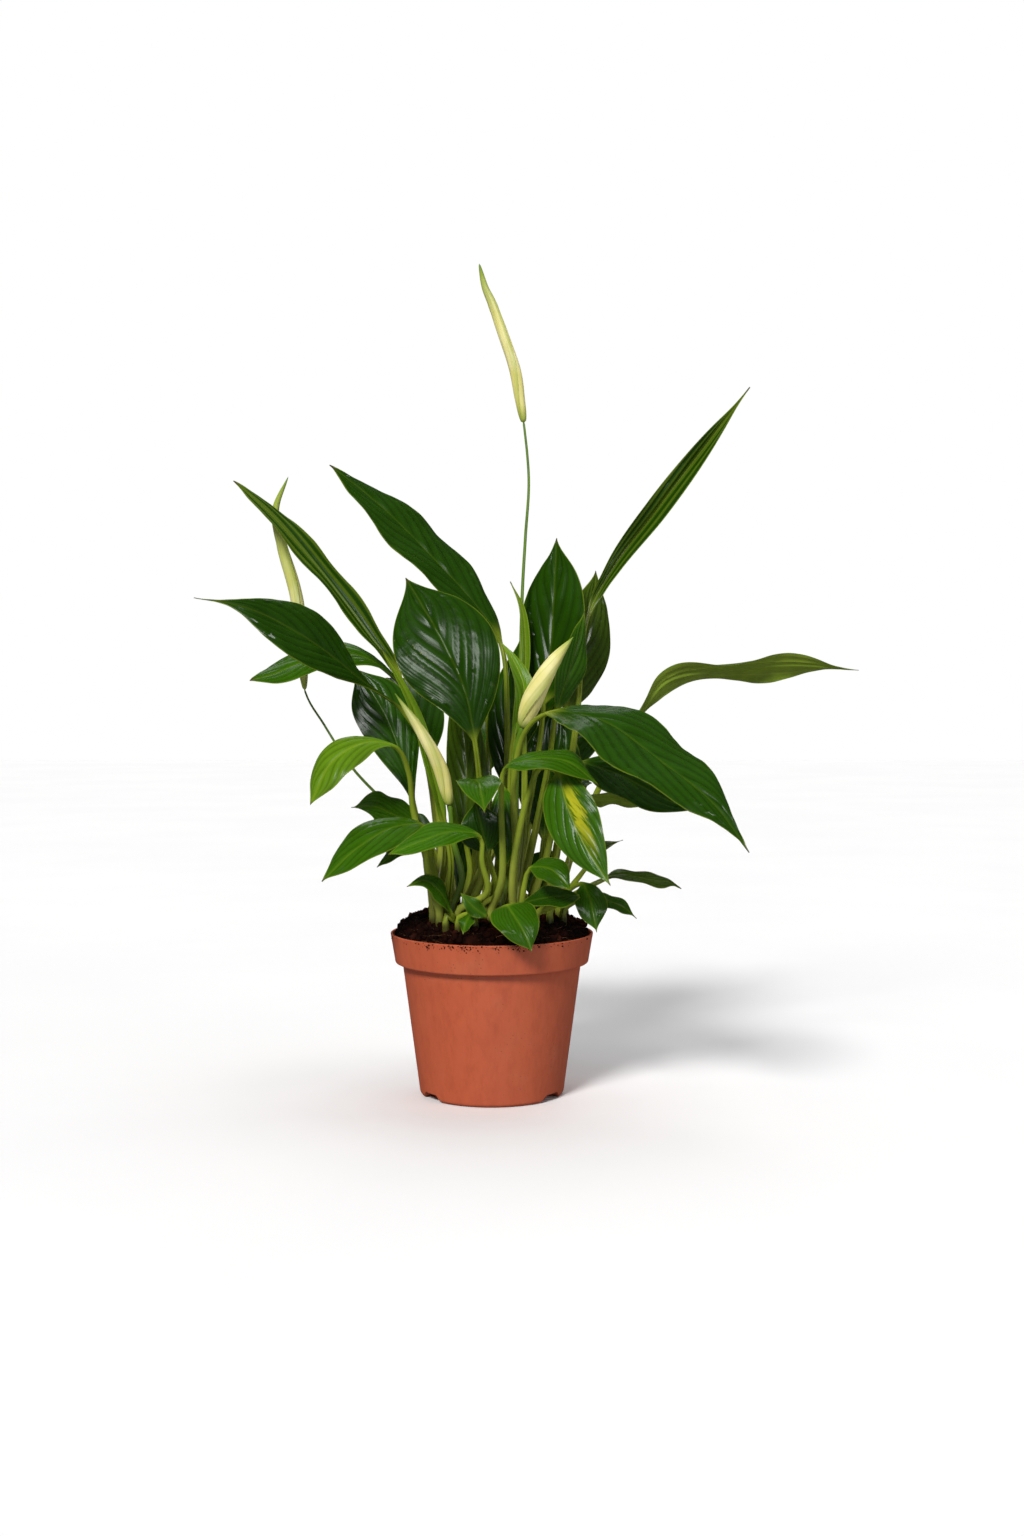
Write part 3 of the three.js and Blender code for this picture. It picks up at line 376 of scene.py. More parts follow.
class StageSettings(bpy.types.PropertyGroup):
    camera_place: bpy.props.FloatVectorProperty(
        name="Camera", description="Where the camera stands", default=(0.012, -1.0, 0.231),
        subtype="TRANSLATION", unit="LENGTH",
    )
    camera_tilt: bpy.props.FloatProperty(
        name="Tilt", description="How far the camera looks down", default=math.radians(2.14),
        subtype="ANGLE",
    )
    lens: bpy.props.FloatProperty(
        name="Lens", description="Focal length on a 36 mm sensor", default=39.45, min=1,
    )
    floor_reach: size("Floor reach", "How far the floor reaches each way", 6.0)
    floor_colour: colour("Floor", "The pale floor", 0xFBFBFD)
    surround: bpy.props.FloatProperty(
        name="Surround", description="Strength of the even light all round", default=0.08, min=0,
    )
    bounce: bpy.props.FloatProperty(
        name="Bounce", description="Share of its light that the floor throws on the plant",
        default=0.42, min=0, max=1,
    )
    mirrored: bpy.props.FloatProperty(
        name="Mirrored", description="Share of the floor's brightness in reflections",
        default=0.07, min=0, max=1,
    )
    gleam: bpy.props.FloatProperty(
        name="Gleam", description="Brightness of the room in reflections", default=0.05, min=0,
    )
    backdrop: bpy.props.FloatProperty(
        name="Backdrop", description="Brightness of the room behind", default=1.0, min=0,
    )


SETTINGS = {
    "lily_pot": PotSettings,
    "lily_soil": SoilSettings,
    "lily_foliage": FoliageSettings,
    "lily_flowers": FlowerSettings,
    "lily_stage": StageSettings,
}

# ---------------------------------------------------------------- arithmetic on whole arrays

ROOT_DEPTH, ROOT_COLLAR, ROOT_NECK = 14, 3, 8  # mm below and above the soil
MOUND_CENTRE = (0, 12)  # mm
SHOULDER = 16  # power with which the mound falls to the wall
CURVE_STEPS = 40  # steps between two points of a line
TANGENT_REACH = 0.4 * MM


def unit(vectors):
    """Each vector divided by its length."""
    return vectors / np.linalg.norm(vectors, axis=-1, keepdims=True)


def ease(share):
    """3x^2 - 2x^3 between 0 and 1: rises with level ends."""
    x = np.clip(share, 0, 1)
    return x * x * (3 - 2 * x)


def square_to(direction, along):
    """The part of a direction that is square to a unit vector, at unit length."""
    return unit(direction - np.sum(direction * along, axis=-1, keepdims=True) * along)


def ripples(x, y, waves, longest, shortest, seed):
    """A sum of plane waves cos(k.p + phase) of random directions, its values about -1 to 1.

    The wavelengths run evenly in ratio from longest to shortest, and a wave's height falls
    with the square root of its length.
    """
    draw = np.random.default_rng(seed)
    lengths = longest * (shortest / longest) ** np.linspace(0, 1, waves)
    angles = draw.uniform(0, 2 * np.pi, waves)
    phases = draw.uniform(0, 2 * np.pi, waves)
    shape = (-1,) + (1,) * np.ndim(x)
    reach = (2 * np.pi / lengths).reshape(shape)
    heights = np.sqrt(lengths / longest).reshape(shape)
    along = x * np.cos(angles).reshape(shape) + y * np.sin(angles).reshape(shape)
    total = np.sum(heights * np.cos(reach * along + phases.reshape(shape)), axis=0)
    return total / np.sqrt(np.sum(heights**2))


class CentreLine:
    """A smooth line through its points, read by the distance along it.

    Between two points it is the cubic with centripetal tangents, whose steps in the parameter
    are the square roots of the distances between the points.
    """

    def __init__(self, points):
        knots = np.array(points, float) * MM
        ends = np.vstack([2 * knots[0] - knots[1], knots, 2 * knots[-1] - knots[-2]])
        gaps = np.sqrt(np.linalg.norm(np.diff(ends, axis=0), axis=1))[:, None]
        before, here, after = gaps[:-2], gaps[1:-1], gaps[2:]
        a, b, c, d = ends[:-3], ends[1:-2], ends[2:-1], ends[3:]
        leave = ((b - a) / before - (c - a) / (before + here) + (c - b) / here) * here
        arrive = ((c - b) / here - (d - b) / (here + after) + (d - c) / after) * here
        u = (np.arange(CURVE_STEPS) / CURVE_STEPS)[None, :, None]
        a, b, c, d = (part[:, None, :] for part in (b, c, leave, arrive))
        curve = a + c * u + (3 * (b - a) - 2 * c - d) * u**2 + (2 * (a - b) + c + d) * u**3
        self.samples = np.vstack([curve.reshape(-1, 3), knots[-1:]])
        steps = np.linalg.norm(np.diff(self.samples, axis=0), axis=1)
        self.distances = np.concatenate([[0], np.cumsum(steps)])
        self.length = self.distances[-1]

    def at(self, distance):
        """The points at some distances from the start."""
        axes = [np.interp(distance, self.distances, self.samples[:, k]) for k in range(3)]
        return np.stack(axes, axis=-1)

    def along(self, distance):
        """The unit tangents there."""
        return unit(self.at(distance + TANGENT_REACH) - self.at(distance - TANGENT_REACH))

    def distance_to(self, knot):
        """How far along the line one of its points lies."""
        return self.distances[knot * CURVE_STEPS]


def mound_height(x, y, soil):
    """edge + mound * (1 - (r / R)^16) * sqrt(1 - d^2 / span^2).

    d is the distance from the mound's centre, r that from the pot's axis, and R the soil's
    own radius.
    """
    away = ((x - MOUND_CENTRE[0] * MM) ** 2 + (y - MOUND_CENTRE[1] * MM) ** 2) / soil.span**2
    fall = 1 - np.minimum(1, np.hypot(x, y) / soil.radius) ** SHOULDER
    return soil.edge + soil.mound * fall * np.sqrt(np.maximum(0, 1 - away))


def root_points(root, soil):
    """The straight stretch in the soil, in millimetres, which the rest of a stalk grows from."""
    z = float(mound_height(root[0] * MM, root[1] * MM, soil)) / MM
    return [(*root, z - ROOT_DEPTH), (*root, z + ROOT_COLLAR), (*root, z + ROOT_NECK)]


def softened(corners, reaches, steps=7):
    """An outline whose corner C is the curve (1-u)^2 P + 2u(1-u) C + u^2 Q.

    P and Q lie at the corner's reach before and after it.
    """
    corners = np.array(corners, float)
    u = np.linspace(0, 1, steps)[:, None]
    parts = [corners[:1]]
    for before, corner, after, reach in zip(corners, corners[1:], corners[2:], reaches):
        start = corner + reach * unit(before - corner)
        end = corner + reach * unit(after - corner)
        parts.append((1 - u) ** 2 * start + 2 * u * (1 - u) * corner + u**2 * end)
    parts.append(corners[-1:])
    return np.vstack(parts)


def filled(outline, spacing):
    """The same outline with a point at least every `spacing`, read by its length."""
    steps = np.linalg.norm(np.diff(outline, axis=0), axis=1)
    distances = np.concatenate([[0], np.cumsum(steps)])
    wanted = np.union1d(distances, np.arange(0, distances[-1], spacing))
    wanted = wanted[np.concatenate([[True], np.diff(wanted) > spacing / 50])]
    return np.stack([np.interp(wanted, distances, outline[:, k]) for k in range(2)], axis=-1)


# ---------------------------------------------------------------- meshes from arrays


def put(name, data):
    """An object at the origin that holds a mesh, a light or a camera."""
    made = bpy.data.objects.new(name, data)
    bpy.context.scene.collection.objects.link(made)
    return made


def put_mesh(name, vertices, faces, values, material, sharp=50):
    """A smooth-shaded object at the origin from arrays of vertices and of faces.

    faces is a list of arrays, one for each number of corners. values maps an attribute's name
    to one number for each vertex. Edges sharper than `sharp` degrees stay crisp.
    """
    mesh = bpy.data.meshes.new(name)
    corners = np.concatenate([part.ravel() for part in faces]).astype(np.int32)
    sizes = np.concatenate([np.full(len(part), part.shape[1]) for part in faces])
    starts = np.concatenate([[0], np.cumsum(sizes)[:-1]]).astype(np.int32)
    mesh.vertices.add(len(vertices))
    mesh.vertices.foreach_set("co", vertices.astype(np.float32).ravel())
    mesh.loops.add(len(corners))
    mesh.loops.foreach_set("vertex_index", corners)
    mesh.polygons.add(len(starts))
    mesh.polygons.foreach_set("loop_start", starts)
    mesh.update(calc_edges=True)
    for key, numbers in values.items():
        attribute = mesh.attributes.new(key, "FLOAT", "POINT")
        attribute.data.foreach_set("value", numbers.astype(np.float32).ravel())
    mesh.shade_smooth()
    mesh.set_sharp_from_angle(angle=math.radians(sharp))
    mesh.materials.append(material)
    return put(name, mesh)


def seat(piece, slot, *nodes):
    """The piece takes the place of its solids and moves with them."""
    if nodes:
        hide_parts(*nodes)
    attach(piece, BODY)


def ring_faces(rows, columns):
    """Quads between neighbouring rings of a tube, its last column joined to its first."""
    row = np.arange(rows - 1)[:, None] * columns
    here = np.arange(columns)[None, :]
    after = (here + 1) % columns
    corners = [row + here, row + here + columns, row + after + columns, row + after]
    return np.stack(corners, axis=-1).reshape(-1, 4)


def flat_ends(rows, columns):
    """Quads that close both ends of a tube whose ring is an upper and a lower row."""
    j = np.arange(columns // 2 - 1)
    first = np.stack([j, j + 1, columns - 2 - j, columns - 1 - j], axis=-1)
    return np.vstack([first, first[:, ::-1] + (rows - 1) * columns])


def outward(piece):
    """Turns every face outwards."""
    mesh = bmesh.new()
    mesh.from_mesh(piece.data)
    bmesh.ops.recalc_face_normals(mesh, faces=mesh.faces)
    mesh.to_mesh(piece.data)
    mesh.free()


def turned_piece(name, grid, values, material, sharp=50):
    """A closed piece from rings of points, of which the first and last shrink to one point.

    values maps an attribute's name to its numbers on the grid, or to a part that spreads over it.
    """
    rows, columns = grid.shape[:2]
    inner = grid[1:-1].reshape(-1, 3)
    poles = np.stack([grid[0].mean(axis=0), grid[-1].mean(axis=0)])
    j = np.arange(columns)
    after = (j + 1) % columns
    low, high = np.full(columns, len(inner)), np.full(columns, len(inner) + 1)
    last = (rows - 3) * columns
    caps = np.vstack([np.stack([low, j, after], -1), np.stack([high, last + after, last + j], -1)])
    numbers = {}
    for key, part in values.items():
        whole = np.broadcast_to(part, (rows, columns))
        numbers[key] = np.concatenate([whole[1:-1].ravel(), whole[[0, -1], 0]])
    faces = [ring_faces(rows - 2, columns), caps]
    made = put_mesh(name, np.vstack([inner, poles]), faces, numbers, material, sharp)
    outward(made)
    return made


# ---------------------------------------------------------------- shader building blocks


def add(tree, kind, inputs=None, **settings):
    """A node. inputs maps a socket's name or number to a value or to another node's socket."""
    made = tree.nodes.new(kind)
    for key, value in settings.items():
        setattr(made, key, value)
    for key, value in (inputs or {}).items():
        socket = made.inputs[key]
        if isinstance(value, bpy.types.NodeSocket):
            tree.links.new(value, socket)
        else:
            socket.default_value = value
    return made


def maths(tree, operation, *values):
    """The result of one sum on numbers or sockets."""
    return add(tree, "ShaderNodeMath", dict(enumerate(values)), operation=operation).outputs[0]


def times(tree, *values):
    """The product of numbers or sockets."""
    product = values[0]
    for value in values[1:]:
        product = maths(tree, "MULTIPLY", product, value)
    return product


def raised(tree, start, value, share):
    """start + value * share."""
    return maths(tree, "ADD", start, times(tree, value, share))


def between(tree, value, low, high, start=0.0, end=1.0):
    """Eases from start to end while the value goes from low to high."""
    inputs = {0: value, 1: low, 2: high, 3: start, 4: end}
    made = add(tree, "ShaderNodeMapRange", inputs, interpolation_type="SMOOTHSTEP")
    return made.outputs[0]


def mixed(tree, share, first, second):
    """A colour between two others, each of them a socket or three numbers."""
    inputs = {0: share}
    for place, value in ((6, first), (7, second)):
        inputs[place] = value if isinstance(value, bpy.types.NodeSocket) else (*value, 1)
    return add(tree, "ShaderNodeMix", inputs, data_type="RGBA").outputs[2]


def painted(tree, base, *coats):
    """A colour under coats of other colours, each given as its share and its colour."""
    for share, coat in coats:
        base = mixed(tree, share, base, coat)
    return base


def read(tree, name):
    """A number kept on the mesh's vertices."""
    return add(tree, "ShaderNodeAttribute", attribute_name=name).outputs["Fac"]


def own_place(tree):
    """The place in the piece's own frame, in metres."""
    return add(tree, "ShaderNodeTexCoord").outputs["Object"]


def noise(tree, place, scale, detail=3.0, roughness=0.5):
    """Smooth noise from 0 to 1 over a place in metres."""
    inputs = {"Vector": place, "Scale": scale, "Detail": detail, "Roughness": roughness}
    return add(tree, "ShaderNodeTexNoise", inputs).outputs[0]


def group(name, inputs, outputs):
    """A new node group. inputs maps a name to a default, and outputs lists names."""
    tree = bpy.data.node_groups.new(name, "ShaderNodeTree")
    for key, value in inputs.items():
        socket = tree.interface.new_socket(key, in_out="INPUT", socket_type="NodeSocketFloat")
        socket.default_value = value
    for key in outputs:
        tree.interface.new_socket(key, in_out="OUTPUT", socket_type="NodeSocketFloat")
    return tree, add(tree, "NodeGroupInput").outputs, add(tree, "NodeGroupOutput").inputs


def placed(tree, name, **inputs):
    """The outputs of a named group, with its inputs set. An underscore stands for a space."""
    inputs = {key.replace("_", " "): value for key, value in inputs.items()}
    return add(tree, "ShaderNodeGroup", inputs, node_tree=bpy.data.node_groups[name]).outputs


def new_material(name, **sockets):
    """A material with one Principled shader, whose constant values are set on its sockets."""
    material = bpy.data.materials.new(name)
    material.use_nodes = True
    tree = material.node_tree
    shader = tree.nodes["Principled BSDF"]
    for key, value in sockets.items():
        shader.inputs[key.replace("_", " ")].default_value = value
    return tree, shader


def finish_material(tree, shader, base, roughness, height, depth):
    """Joins colour, roughness and a bump of that depth in metres to the shader."""
    tree.links.new(base, shader.inputs["Base Color"])
    tree.links.new(roughness, shader.inputs["Roughness"])
    bump = add(tree, "ShaderNodeBump", {"Strength": 1.0, "Distance": depth, "Height": height})
    tree.links.new(bump.outputs[0], shader.inputs["Normal"])


def build_groups():
    """The effects that several materials share."""
    defaults = {"Scale": 100.0, "Low": 0.35, "High": 0.65}
    tree, given, out = group("Mottling", defaults, ("Share", "Fine"))
    place = own_place(tree)
    broad = noise(tree, place, given["Scale"], 4.0, 0.55)
    fine = noise(tree, place, times(tree, given["Scale"], 9.0), 2.0)
    tree.links.new(between(tree, broad, given["Low"], given["High"]), out["Share"])
    tree.links.new(fine, out["Fine"])

    defaults = {"Phase": 0.0, "From Rib": 1.0, "Width": 0.12, "Count": 4.0}
    tree, given, out = group("Veins", defaults, ("Vein", "Valley", "Rib", "Pleats"))
    turn = maths(tree, "FRACT", given["Phase"])
    from_middle = maths(tree, "ABSOLUTE", maths(tree, "SUBTRACT", turn, 0.5))
    off = maths(tree, "SUBTRACT", 0.5, from_middle)
    clear = between(tree, given["From Rib"], 0.6 * MM, 2.2 * MM)
    swing = times(tree, given["Phase"], given["Count"], 2 * math.pi)
    for key, share in (
        ("Vein", between(tree, off, 0.0, given["Width"], 1.0, 0.0)),
        ("Valley", between(tree, off, 0.0, 0.45, 1.0, 0.0)),
        ("Pleats", maths(tree, "SINE", swing)),
    ):
        tree.links.new(times(tree, share, clear), out[key])
    tree.links.new(between(tree, given["From Rib"], 0.35 * MM, 0.95 * MM, 1.0, 0.0), out["Rib"])

    defaults = {"Scale": 900.0, "Amount": 0.12, "Patches": 30.0}
    tree, given, out = group("Specks", defaults, ("Speck", "Patch"))
    place = own_place(tree)
    inputs = {"Vector": place, "Scale": given["Scale"]}
    spot = add(tree, "ShaderNodeTexVoronoi", inputs).outputs["Distance"]
    patch = noise(tree, place, given["Patches"], 4.0, 0.6)
    edge = times(tree, given["Amount"], between(tree, patch, 0.45, 0.7))
    tree.links.new(maths(tree, "LESS_THAN", spot, edge), out["Speck"])
    tree.links.new(patch, out["Patch"])


# ---------------------------------------------------------------- materials

# Three shares of a leaf's own colour, then the scales of mottling, in patches to the metre.

# FURROW_SHADE_SHARE gives the darker green of the painted shade in a leaf's furrows.
DEEP_SHARE, FURROW_SHADE_SHARE, BRIGHT_SHARE = 0.78, 0.36, 1.5
LEAF_MOTTLE, STALK_MOTTLE, SPATHE_MOTTLE, POT_MOTTLE = 60.0, 45.0, 50.0, 38.0
PEAT_MOTTLE, FIBRE_MOTTLE, FLOOR_MOTTLE = 240.0, 300.0, 3.0
FLOW_STREAKS = 170.0
SPATHE_VEINS = 8
SPLASH_BROWN = (0.05, 0.02, 0.012)


def streak_share(tree, along, phase):
    """How much of the streak shows: a ragged band beside the rib that fades at both ends."""
    across = read(tree, "across")
    fingers = add(tree, "ShaderNodeCombineXYZ", {0: phase, 1: across})
    flames = noise(tree, fingers.outputs[0], 3.4, 3.0, 0.6)
    ragged = maths(tree, "ADD", across, between(tree, flames, 0.3, 0.7, -0.17, 0.17))
    off = maths(tree, "ABSOLUTE", maths(tree, "SUBTRACT", ragged, 0.26))
    band = between(tree, off, 0.06, 0.30, 1.0, 0.0)
    begin = between(tree, along, 0.08, 0.26)
    fade = between(tree, along, 0.36, 0.85, 1.0, 0.0)
    return times(tree, begin, fade, band, 0.75)


def leaf_material(name, upper, foliage, rib, lift=1.0, streaked=False):
    """Glossy above and paler below by `lift`, which also paints light shining through the lower
    face, with a light rib, fine veins and a dry tip.
    """
    tree, shader = new_material(
        name, Specular_IOR_Level=0.24, Coat_Weight=0.03, Coat_Roughness=0.16,
    )
    keys = ("along", "under", "open", "phase", "from_rib", "pleats")
    along, under, opened, phase, from_rib, pleats = (read(tree, key) for key in keys)
    veins = placed(tree, "Veins", Phase=phase, From_Rib=from_rib, Width=0.11, Count=pleats)
    mottle = placed(tree, "Mottling", Scale=LEAF_MOTTLE, Low=0.3, High=0.7)
    patches = mottle["Share"]
    # furrow_shade: the leaf's green darkened, for painted shade in its furrows
    deep, furrow_shade = (tuple(share * c for c in upper) for share in (DEEP_SHARE, FURROW_SHADE_SHARE))
    bright = tuple(min(1, BRIGHT_SHARE * c + 0.004) for c in upper)
    # lift above 1 brightens the lower face: painted light shining through the blade
    paler = tuple(lift * (0.7 * a + 0.3 * b) for a, b in zip(foliage.under, bright))
    # crest_sheen: the crests between a slender leaf's long folds, which get a painted sheen
    crest_sheen = maths(tree, "SUBTRACT", read(tree, "long"), veins["Valley"])
    above = painted(
        tree, deep,
        (patches, upper),
        (times(tree, read(tree, "tint"), 0.6), bright),
        # darker along the fine pleats, then painted shade in the valleys between swellings and
        # along the vein furrows
        (times(tree, between(tree, veins["Pleats"], 0.0, 1.0), opened, 0.10), furrow_shade),
        (times(tree, veins["Valley"], 0.34), furrow_shade),
        (times(tree, veins["Vein"], opened, 0.42), furrow_shade),
        # painted sheen: paler along the crests of a slender leaf's long folds
        (between(tree, crest_sheen, 0.5, 1.0, 0.0, 0.42), foliage.under),
        (times(tree, veins["Rib"], rib), foliage.stem),
    )
    if streaked:
        above = mixed(tree, streak_share(tree, along, phase), above, foliage.streak)
    below = painted(
        tree, tuple(0.75 * c for c in paler),
        (patches, paler),
        (times(tree, veins["Vein"], 0.35), foliage.stem_base),
    )
    stalk = painted(
        tree, foliage.stem_base,
        (between(tree, along, -0.95, -0.2), foliage.stem),
        (times(tree, patches, 0.35), upper),
    )
    splash = raised(tree, read(tree, "clear"), patches, 3 * MM)
    base = painted(
        tree, above,
        # painted light: a pale line along the margin, where the thin edge catches light and lets it
        # through
        (between(tree, read(tree, "from_edge"), 0.15 * MM, 0.8 * MM, 0.4, 0.0), foliage.stem),
        (under, below),
        (times(tree, between(tree, along, 0.955, 1.0), 0.8), foliage.dry),
        (between(tree, along, -0.02, 0.10, 1.0, 0.0), stalk),
        (between(tree, splash, 2 * MM, 9 * MM, 0.85, 0.0), foliage.soiled),
    )
    roughness = raised(tree, raised(tree, 0.23, patches, 0.10), under, 0.22)
    height = raised(tree, times(tree, veins["Pleats"], opened, 0.35), mottle["Fine"], 0.12)
    finish_material(tree, shader, base, roughness, height, 0.05 * MM)


def stalk_material(flowers, foliage):
    """A green stalk, paler near the soil and mottled with leaf green."""
    tree, shader = new_material("Flower stalk", Specular_IOR_Level=0.45)
    mottle = placed(tree, "Mottling", Scale=STALK_MOTTLE)
    base = painted(
        tree, foliage.stem_base,
        (between(tree, read(tree, "along"), 0.0, 0.45), flowers.stalk),
        (times(tree, mottle["Share"], 0.35), foliage.mid),
    )
    roughness = raised(tree, 0.32, mottle["Fine"], 0.15)
    finish_material(tree, shader, base, roughness, mottle["Fine"], 0.02 * MM)


def spathe_material(flowers):
    """Cream that turns green at the tip, the base, the seam and along its veins."""
    tree, shader = new_material("Spathe", Specular_IOR_Level=0.4)
    along, around = read(tree, "along"), read(tree, "around")
    mottle = placed(tree, "Mottling", Scale=SPATHE_MOTTLE)
    lines = maths(tree, "SINE", times(tree, around, 2 * math.pi * SPATHE_VEINS))
    base = painted(
        tree, flowers.cream,
        (mottle["Share"], flowers.butter),
        (times(tree, between(tree, lines, 0.55, 1.0), 0.22), flowers.lime),
        (between(tree, around, 0.86, 1.0, 0.0, 0.6), flowers.lime),
        (between(tree, along, read(tree, "green_from"), 1.0), flowers.lime),
        (between(tree, along, 0.9, 1.0, 0.0, 0.8), flowers.stalk),
        (between(tree, along, 0.0, 0.14, 0.9, 0.0), flowers.lime),
    )
    roughness = raised(tree, 0.36, mottle["Fine"], 0.15)
    height = maths(tree, "ADD", lines, mottle["Fine"])
    finish_material(tree, shader, base, roughness, height, 0.025 * MM)


def pot_material(pot):
    """Matt terracotta-coloured plastic with faint upright flow streaks, scuffs and dust."""
    tree, shader = new_material("Terracotta plastic", Specular_IOR_Level=0.35)
    inputs = {"Vector": own_place(tree), "Scale": (1, 1, 0.35)}
    stretched = add(tree, "ShaderNodeMapping", inputs).outputs[0]
    streaks = noise(tree, stretched, FLOW_STREAKS, 6.0, 0.7)
    mottle = placed(tree, "Mottling", Scale=POT_MOTTLE, Low=0.3, High=0.75)
    specks = placed(tree, "Specks", Scale=420.0, Amount=0.16, Patches=24.0)
    base = painted(
        tree, pot.clay_deep,
        (between(tree, streaks, 0.25, 0.6, 0.35), pot.clay),
        (times(tree, mottle["Share"], 0.25), pot.clay_deep),
        (times(tree, between(tree, specks["Patch"], 0.55, 0.75), 0.16), pot.dust),
        (times(tree, specks["Speck"], 0.45), SPLASH_BROWN),
    )
    roughness = raised(tree, 0.5, mottle["Fine"], 0.2)
    height = raised(tree, streaks, mottle["Fine"], 0.7)
    finish_material(tree, shader, base, roughness, height, 0.10 * MM)


def peat_material(soil):
    """Dark moist peat, redder and drier in patches."""
    tree, shader = new_material("Peat", Specular_IOR_Level=0.06)
    mottle = placed(tree, "Mottling", Scale=PEAT_MOTTLE, Low=0.35, High=0.7)
    base = painted(
        tree, soil.peat_deep,
        (mottle["Share"], soil.peat),
        (read(tree, "tint"), soil.bark),
    )
    roughness = raised(tree, 0.7, mottle["Fine"], 0.25)
    finish_material(tree, shader, base, roughness, mottle["Fine"], 0.4 * MM)


def fibre_material(soil):
    """Dry pale roots, stained dark by peat in places."""
    tree, shader = new_material("Fine roots", Specular_IOR_Level=0.1)
    mottle = placed(tree, "Mottling", Scale=FIBRE_MOTTLE, Low=0.3, High=0.7)
    base = painted(
        tree, soil.peat_deep,
        (read(tree, "tint"), soil.fibre),
        (times(tree, mottle["Share"], 0.6), soil.bark),
    )
    roughness = raised(tree, 0.6, mottle["Fine"], 0.3)
    finish_material(tree, shader, base, roughness, mottle["Fine"], 0.05 * MM)


def floor_material(stage):
    """A plain pale floor, which throws back less light than the camera sees."""
    tree, shader = new_material("Pale floor", Specular_IOR_Level=0.2)
    mottle = placed(tree, "Mottling", Scale=FLOOR_MOTTLE)
    paler, bounced, mirrored = (
        tuple(min(1, share * c) for c in stage.floor_colour)
        for share in (1.02, stage.bounce, stage.mirrored)
    )
    rays = add(tree, "ShaderNodeLightPath").outputs
    seen = mixed(tree, mottle["Share"], stage.floor_colour, paler)
    base = mixed(tree, rays["Is Camera Ray"], bounced, seen)
    base = mixed(tree, rays["Is Glossy Ray"], base, mirrored)
    tree.links.new(base, shader.inputs["Base Color"])
    tree.links.new(raised(tree, 0.8, mottle["Fine"], 0.05), shader.inputs["Roughness"])


# ---------------------------------------------------------------- leaves

HALF_COLUMNS = 15  # points across each half of a blade
STALK_STEP, BLADE_STEP = 4 * MM, 2 * MM
FEWEST_BLADE_STEPS = 26
FOLD_FADE = 0.4  # share of the fold that is gone at the tip
MARGIN_LAG = 1.7  # radians between the waves of the two margins
WAVE_ENDS = 0.6  # power of sin(pi t) with which the waves fade at base and tip
FRILL = 0.012  # height of the margin's fine frill in half-widths
ROOTED_LENGTH = 0.15  # share of the blade over which the round stalk flattens
RIB_SHARE = 0.9  # depth of the ridge under the midrib in radii
CHANNEL = 0.4  # depth and half-width of the stalk's channel in radii
CHANNEL_FROM, CHANNEL_RUN = -0.9, 0.2  # where it begins on the stalk, and over what length
BROADEST_HALF = 29.5 * MM  # half the width of the blade whose veins stand out the most
FULL_RELIEF = 50  # mm: a blade as wide as this has the full swellings
LONG_RELIEF = 0.4  # share of them that a slender blade has at least
RIB_CLEAR, EDGE_CLEAR = 2.5 * MM, 3 * MM  # over which they rise from the midrib and the margin
EDGE_SKIN, EDGE_REACH = 0.3, 2 * MM  # share of the thickness at the margin, and how far it thins
DRIP, DRIP_REACH = 0.5, 0.12  # a and b of the drawn-in tip
SLENDER, LONG_FOLDS = 6, 2.3  # widths of a slender blade's length, and folds on each half
CROSS_PLEATS, LONG_PLEATS = 3.0, 1.0  # fine pleats between two veins
NO_EDGE = 10 * MM  # stands for the distance to the margin where the stalk has none


def blade_outline(t, shape):
    """(t/w)^a ((1-t)/(1-w))^b with w = a/(a+b): 0 at base and tip and 1 at the widest place."""
    widen, narrow = shape
    widest = widen / (widen + narrow)
    return (t / widest) ** widen * ((1 - t) / (1 - widest)) ** narrow


def across_directions(line, base, distances, shares, face):
    """The direction across the leaf at each station.

    On the blade it is the level direction face x chord, made square to the line. Down the
    stalk it is carried on from station to station without turning.
    """
    tangents = line.along(distances)
    chord = unit(line.at(line.length) - line.at(base))
    level = unit(np.cross(np.array(face, float), chord))
    sides = square_to(np.broadcast_to(level, tangents.shape), tangents)
    first = int(np.argmax(shares >= 0))
    for i in range(first - 1, -1, -1):
        sides[i] = square_to(sides[i + 1], tangents[i])
    return tangents, sides


def slender(leaf, length):
    """Whether a leaf is so narrow that its folds run lengthwise."""
    return length > SLENDER * leaf["width"] * MM


def swellings(t, v, length, half, leaf, foliage, seed):
    """The vein phase and the swelling between veins, about -1 to 1.

    Side veins leave the midrib at a fixed angle and bend towards the tip, so their phase is
    n (t - reach |v| (0.7 + 0.4 |v|)), half a vein out of step between the two halves. On a
    slender leaf they run lengthwise, with the phase n |v| - 0.7 t. The swelling is
    |sin(pi phase)|^0.8, low on each vein and round between two.
    """
    veins = max(4, round(length / foliage.vein_spacing))
    angle = foliage.vein_angle * (0.25 + 0.75 * half / BROADEST_HALF)
    reach = half / (math.tan(angle) * length)
    draw = np.random.default_rng(seed)
    sway = 0.16 * np.sin(2 * np.pi * (1.3 * t + draw.uniform()) + 1.5 * v)
    phase = veins * (t - reach * np.abs(v) * (0.7 + 0.4 * np.abs(v)))
    if slender(leaf, length):
        phase = LONG_FOLDS * np.abs(v) - 0.7 * t
    phase = phase + np.where(v < 0, 0.5, 0.0) + sway + draw.uniform()
    offset = draw.uniform(0, 6, 2)[np.where(v < 0, 1, 0)]
    uneven = 0.65 + 0.35 * np.sin(1.9 * phase + offset)
    swell = uneven * (2 * np.abs(np.sin(np.pi * phase)) ** 0.8 - 0.85)
    return phase + 20, swell


